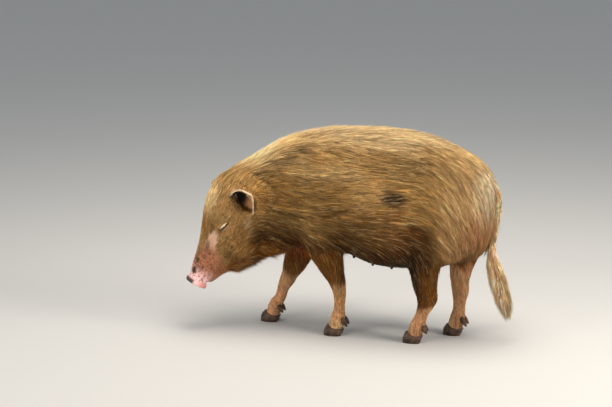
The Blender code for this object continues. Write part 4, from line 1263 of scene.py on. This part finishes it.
way = lie(root)
on_ear = np.zeros(TUFTS, bool)
for name in EARS:
    along, across, depth = ear_place(root, name)
    mine = on_leaf(root, name) > 0.5
    on_ear |= mine
    _, axis, half, _ = ear_axes(name)
    outwards = np.array(axis)[None] + np.array(half)[None] * np.clip(across, -1, 1)[:, None] * 1.2
    way[mine] = outwards[mine] / np.linalg.norm(outwards[mine], axis=1)[:, None]
tail_way = np.stack([0.24 - 0.42 * climb(root[:, 2], 0.26, 0.34), np.zeros(TUFTS), np.full(TUFTS, -0.97)], 1)
way[on_tail] = tail_way[on_tail]
way += rng.normal(size=(TUFTS, 3)) * 0.085 * np.linalg.norm(way, axis=1)[:, None]


def along_skin(direction, outward):
    flat = direction - (direction * outward).sum(1)[:, None] * outward
    return flat / np.maximum(np.linalg.norm(flat, axis=1), 1e-9)[:, None]


def nearest(points, outward):
    """The nearest place on the skin with its outward direction. A point past a thin edge stays."""
    spots = np.empty_like(points)
    outs = np.empty_like(points)
    for i, point in enumerate(points):
        spot, out, _, _ = tree_of_skin.find_nearest(point)
        spots[i] = spot
        outs[i] = out
    turned_over = (outs * outward).sum(1) < 0.15
    spots[turned_over] = points[turned_over]
    outs[turned_over] = outward[turned_over]
    return spots, outs


heading = along_skin(way, normal)
spot_1, out_1 = nearest(root + heading * (length * BEND)[:, None], normal)
heading_1 = along_skin(heading, out_1)
spot_2, out_2 = nearest(spot_1 + heading_1 * (length * REST)[:, None], out_1)
mid = spot_1 + out_1 * (lift * 0.50)[:, None]
end = spot_2 + out_2 * lift[:, None]

# The tail's tuft is free: it spreads fore and aft, and closes again towards its end.
free = on_tail & (tuft_share > 0.2)
sway = np.sign(normal[:, 0]) * rng.uniform(0.0, 1.0, TUFTS) * 0.025 * tuft_share
sway *= climb(root[:, 2], 0.11, 0.20) * fall(root[:, 2], 0.25, 0.33)
mid_free = root + normal * (lift * 0.4)[:, None] + tail_way * (length * BEND)[:, None]
end_free = root + normal * (lift * 0.3)[:, None] + tail_way * length[:, None]
mid_free[:, 0] += sway * 0.8
end_free[:, 0] += sway
mid[free] = mid_free[free]
end[free] = end_free[free]

# Under the jaw the tips hang.
hanging = beard_share(root) * fall(normal[:, 2], -0.5, 0.0) * rng.uniform(0.1, 1.0, TUFTS)
hang = (hanging * 0.017)[:, None] * np.array([0.3, 0, -1.0])
mid += hang * 0.3
end += hang

# Neighbouring tufts gather: their tips move towards their clump's tip.
leaders = rng.choice(TUFTS, size=CLUMPS, replace=False)
kd = KDTree(CLUMPS)
for i, leader in enumerate(leaders):
    kd.insert(root[leader], i)
kd.balance()
clump = np.array([kd.find(point)[1] for point in root])
member = leaders[clump]
gap = root - root[member]
near = (np.linalg.norm(gap, axis=1) < CLUMP_REACH) & ((normal * normal[member]).sum(1) > 0.6)
share = np.where(on_ear | free, LOOSE_PULL, CLUMP_PULL) * near
pull = share[:, None]
end += (end[member] + gap * 0.2 - end) * pull
mid += (mid[member] + gap * 0.6 - mid) * pull * 0.5

across = np.cross(end - root, normal)
across /= np.maximum(np.linalg.norm(across, axis=1), 1e-9)[:, None]
base = root - normal * ROOT_DEPTH
half = wide[:, None]
low_mid = base + (mid - base) * 0.75
ridge = low_mid + out_1 * half * 1.1
tuft_points = np.stack([base, low_mid + across * half, ridge, low_mid - across * half, end], 1)

# Long streaks: each clump takes the mean of chance values up and down its line of growth.
chance = rng.normal(0, 1, CLUMPS)
streak = np.zeros(CLUMPS)
STEPS = np.linspace(-STREAK_REACH, STREAK_REACH, 11)
for step in STEPS:
    along_line = root[leaders] + heading[leaders] * step
    streak += chance[[kd.find(point)[1] for point in along_line]]
streak /= math.sqrt(len(STEPS))
shade = np.exp(0.21 * streak[clump] + 0.18 * chance[clump] + rng.normal(0, 0.22, TUFTS) - 0.06)
hair = hair_tone(root * 0.4 + mid * 0.3 + end * 0.3)
pale = rng.random(TUFTS) < LONE_TUFTS
hair[pale] = hair[pale] * 0.45 + TONES["bristle"] * 0.50
dark = rng.random(TUFTS) < LONE_TUFTS
hair[dark] *= 0.50
hair *= shade[:, None]
hair[on_tail] = (hair_tone(root) * 1.12 * (shade ** 1.6)[:, None])[on_tail]
back, rise, side = head_place(root)
muzzle = muzzle_share(root)
fair = skin_tone(root, normal) * 0.85 + TONES["bristle"] * 0.22
hair += (fair - hair) * muzzle[:, None]
hair[on_ear] = TONES["ear_hair"] * shade[on_ear][:, None]
# Each tuft is darker towards its root, painted shade deep in the coat, and lighter at its tip.
along = np.array([0.45, 0.92, 0.92, 0.92, 1.28])
tuft_colours = hair[:, None, :] * along[None, :, None]

FACES = np.array([(0, 1, 2), (0, 2, 3), (0, 3, 1), (4, 2, 1), (4, 3, 2), (4, 1, 3)])
PATCH = 0.0015
uv_offsets = np.array([(0, -1), (-1, 0), (0, 0.2), (1, 0), (0, 1)]) * PATCH


def tuft_mesh(name, points, colours, spots):
    """One mesh of tufts: five points, a colour each and the unwrap place of each root."""
    count = len(points)
    faces = (FACES[None] + 5 * np.arange(count)[:, None, None]).reshape(-1, 3)
    mesh = bpy.data.meshes.new(name)
    mesh.vertices.add(count * 5)
    mesh.vertices.foreach_set("co", points.astype(np.float32).ravel())
    mesh.loops.add(len(faces) * 3)
    mesh.loops.foreach_set("vertex_index", faces.astype(np.int32).ravel())
    mesh.polygons.add(len(faces))
    mesh.polygons.foreach_set("loop_start", np.arange(0, len(faces) * 3, 3, dtype=np.int32))
    mesh.update(calc_edges=True)
    mesh.shade_smooth()
    uv = mesh.uv_layers.new(name="OFBake")
    corners = (spots[:, None, :] + uv_offsets[None]).reshape(-1, 2)
    uv.data.foreach_set("uv", corners[faces.ravel()].astype(np.float32).ravel())
    made = bpy.data.objects.new(name, mesh)
    pig.objects.link(made)
    paint(made, colours.reshape(-1, 3))
    mesh.materials.append(hair_material)
    return made


groups = {"coat_head": root[:, 0] < -0.24, "coat_back": root[:, 2] > 0.50, "coat_legs": root[:, 2] < 0.25}
left_over = np.ones(TUFTS, bool)
coat_pieces = []
for name, chosen_here in list(groups.items()) + [("coat_flank", left_over.copy())]:
    mine = np.nonzero(chosen_here & left_over)[0]
    left_over[mine] = False
    mine = mine[np.argsort(root[mine, 0] + 0.3 * root[mine, 1])]
    parts = max(1, math.ceil(len(mine) / MOST_IN_A_PIECE))
    for i, share in enumerate(np.array_split(mine, parts)):
        piece = tuft_mesh(f"{name}_{i + 1}", tuft_points[share], tuft_colours[share], root_uv[share])
        coat_pieces.append(piece)

# Lashes: pale stiff hairs on the upper lid of each eye.
LASHES = 34
lash_rows = []
for side in (-1, 1):
    long_way, up_way = slit_axes(side)
    for i in range(LASHES):
        share = 2 * i / (LASHES - 1) - 1 + rng.uniform(-0.04, 0.04)
        out_way = side * RIGHTWARD * math.cos(share * 0.85) + long_way * math.sin(share * 0.85)
        foot = eye_centres[side] + out_way * (EYE_RADIUS + LID * 0.6) + up_way * 0.0036
        lean = (out_way + up_way * rng.uniform(0.1, 0.5) + long_way * 0.5).normalized()
        long = rng.uniform(0.009, 0.015)
        bend_point = foot + lean * long * 0.5
        tip_point = foot + lean * long - up_way * 0.002
        broad = long_way.cross(lean).normalized() * 0.00034
        thick = lean.cross(broad).normalized() * 0.0003
        lash_rows.append([foot - out_way * 0.002, bend_point + broad, bend_point + thick,
                          bend_point - broad, tip_point])
lash_points = np.array([[tuple(v) for v in row] for row in lash_rows])
lash_colours = np.tile(TONES["bristle"] * 1.1, (len(lash_rows) * 5, 1))
nearest_roots = [int(np.argmin(((root - row[0]) ** 2).sum(1))) for row in lash_points]
coat_pieces.append(tuft_mesh("coat_lashes", lash_points, lash_colours, root_uv[nearest_roots]))

# Eyes, dark and wet, nearly closed.
eyes = []
for side, word in ((-1, "left"), (1, "right")):
    ball = sphere(f"eyeball_{word}", eye_centres[side], EYE_RADIUS, 32)
    ball.data.shade_smooth()
    ball.data.materials.append(eye_material)
    eyes.append((ball, f"eye_{word}"))

# Claws, each set a little under its coronet, and the small dewclaws behind.
claws = []
for name in FEET:
    for word in ("left", "right"):
        for kind in ("hoof", "dewclaw"):
            node = f"{kind}_{name}_{word}"
            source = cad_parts[node]
            made = bpy.data.objects.new(f"horn_{node}", source.data.copy())
            pig.objects.link(made)
            bm = bmesh.new()
            bm.from_mesh(made.data)
            bmesh.ops.remove_doubles(bm, verts=bm.verts, dist=1e-5)
            bm.to_mesh(made.data)
            bm.free()
            made.data.shade_smooth()
            made.data.materials.clear()
            made.data.materials.append(horn_material)
            claws.append((made, node))

for piece in [skin] + coat_pieces + [ball for ball, _ in eyes]:
    piece.data.transform(Matrix.Translation(SHIFT))
    piece.data.update()
    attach(piece, "root")
for piece, node in claws:
    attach(piece, "root")
FLESH = ["head", "neck", "torso", "tail", "ear_left", "ear_right"] + list(LEGS)
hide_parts(*FLESH)
for piece, node in eyes:
    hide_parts(node)
for piece, node in claws:
    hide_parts(node)

# The studio: a wide pale floor, soft light from above, the front left and behind.
stage_bm = bmesh.new()
bmesh.ops.create_grid(stage_bm, x_segments=1, y_segments=1, size=40)
floor = object_from(stage_bm, "floor", bpy.context.scene.collection)
floor_material, tree, shader = new_material("studio floor", 0.85, 0.2)
shader.inputs["Base Color"].default_value = (*linear("#c4c2bd"), 1)
floor.data.materials.append(floor_material)

scene = bpy.context.scene
world = bpy.data.worlds.new("soft sky")
world.use_nodes = True
world.node_tree.nodes["Background"].inputs["Color"].default_value = (*linear("#dfe6ee"), 1)
world.node_tree.nodes["Background"].inputs["Strength"].default_value = 0.55
scene.world = world


def area_light(name, place, aim, size, power, colour):
    data = bpy.data.lights.new(name, "AREA")
    data.shape = "DISK"
    data.size = size
    data.energy = power
    data.color = linear(colour)
    made = bpy.data.objects.new(name, data)
    scene.collection.objects.link(made)
    made.location = place
    made.rotation_mode = "QUATERNION"
    made.rotation_quaternion = (Vector(aim) - Vector(place)).to_track_quat("-Z", "Y")
    return made


area_light("sky light", (0.2, -0.2, 3.0), (0, 0, 0.3), 2.2, 80, "#fff8f0")
area_light("front fill", (-2.4, -3.6, 1.9), (0, 0, 0.35), 2.0, 72, "#fff6ec")
area_light("side light", (3.0, -0.6, 1.7), (0.2, 0, 0.4), 1.4, 80, "#fff7ee")

# The camera looks at the pig's left side from a little behind its shoulder, just above its back.
AZIMUTH, ELEVATION = math.radians(16), math.radians(12)
DISTANCE = 5.5
FOCAL_PIXELS = 1760
IMAGE_WIDTH = 612
TARGET = Vector((-0.11659, -0.01253, 0.40303))
backward = Vector((
    math.sin(AZIMUTH) * math.cos(ELEVATION),
    -math.cos(AZIMUTH) * math.cos(ELEVATION),
    math.sin(ELEVATION),
))
camera_data = bpy.data.cameras.new("camera")
camera_data.sensor_width = 36
camera_data.lens = FOCAL_PIXELS / IMAGE_WIDTH * 36
camera = bpy.data.objects.new("camera", camera_data)
scene.collection.objects.link(camera)
camera.location = TARGET + SHIFT + backward * DISTANCE
camera.rotation_mode = "QUATERNION"
camera.rotation_quaternion = (-backward).to_track_quat("-Z", "Y")
scene.camera = camera
scene.view_settings.view_transform = "Standard"
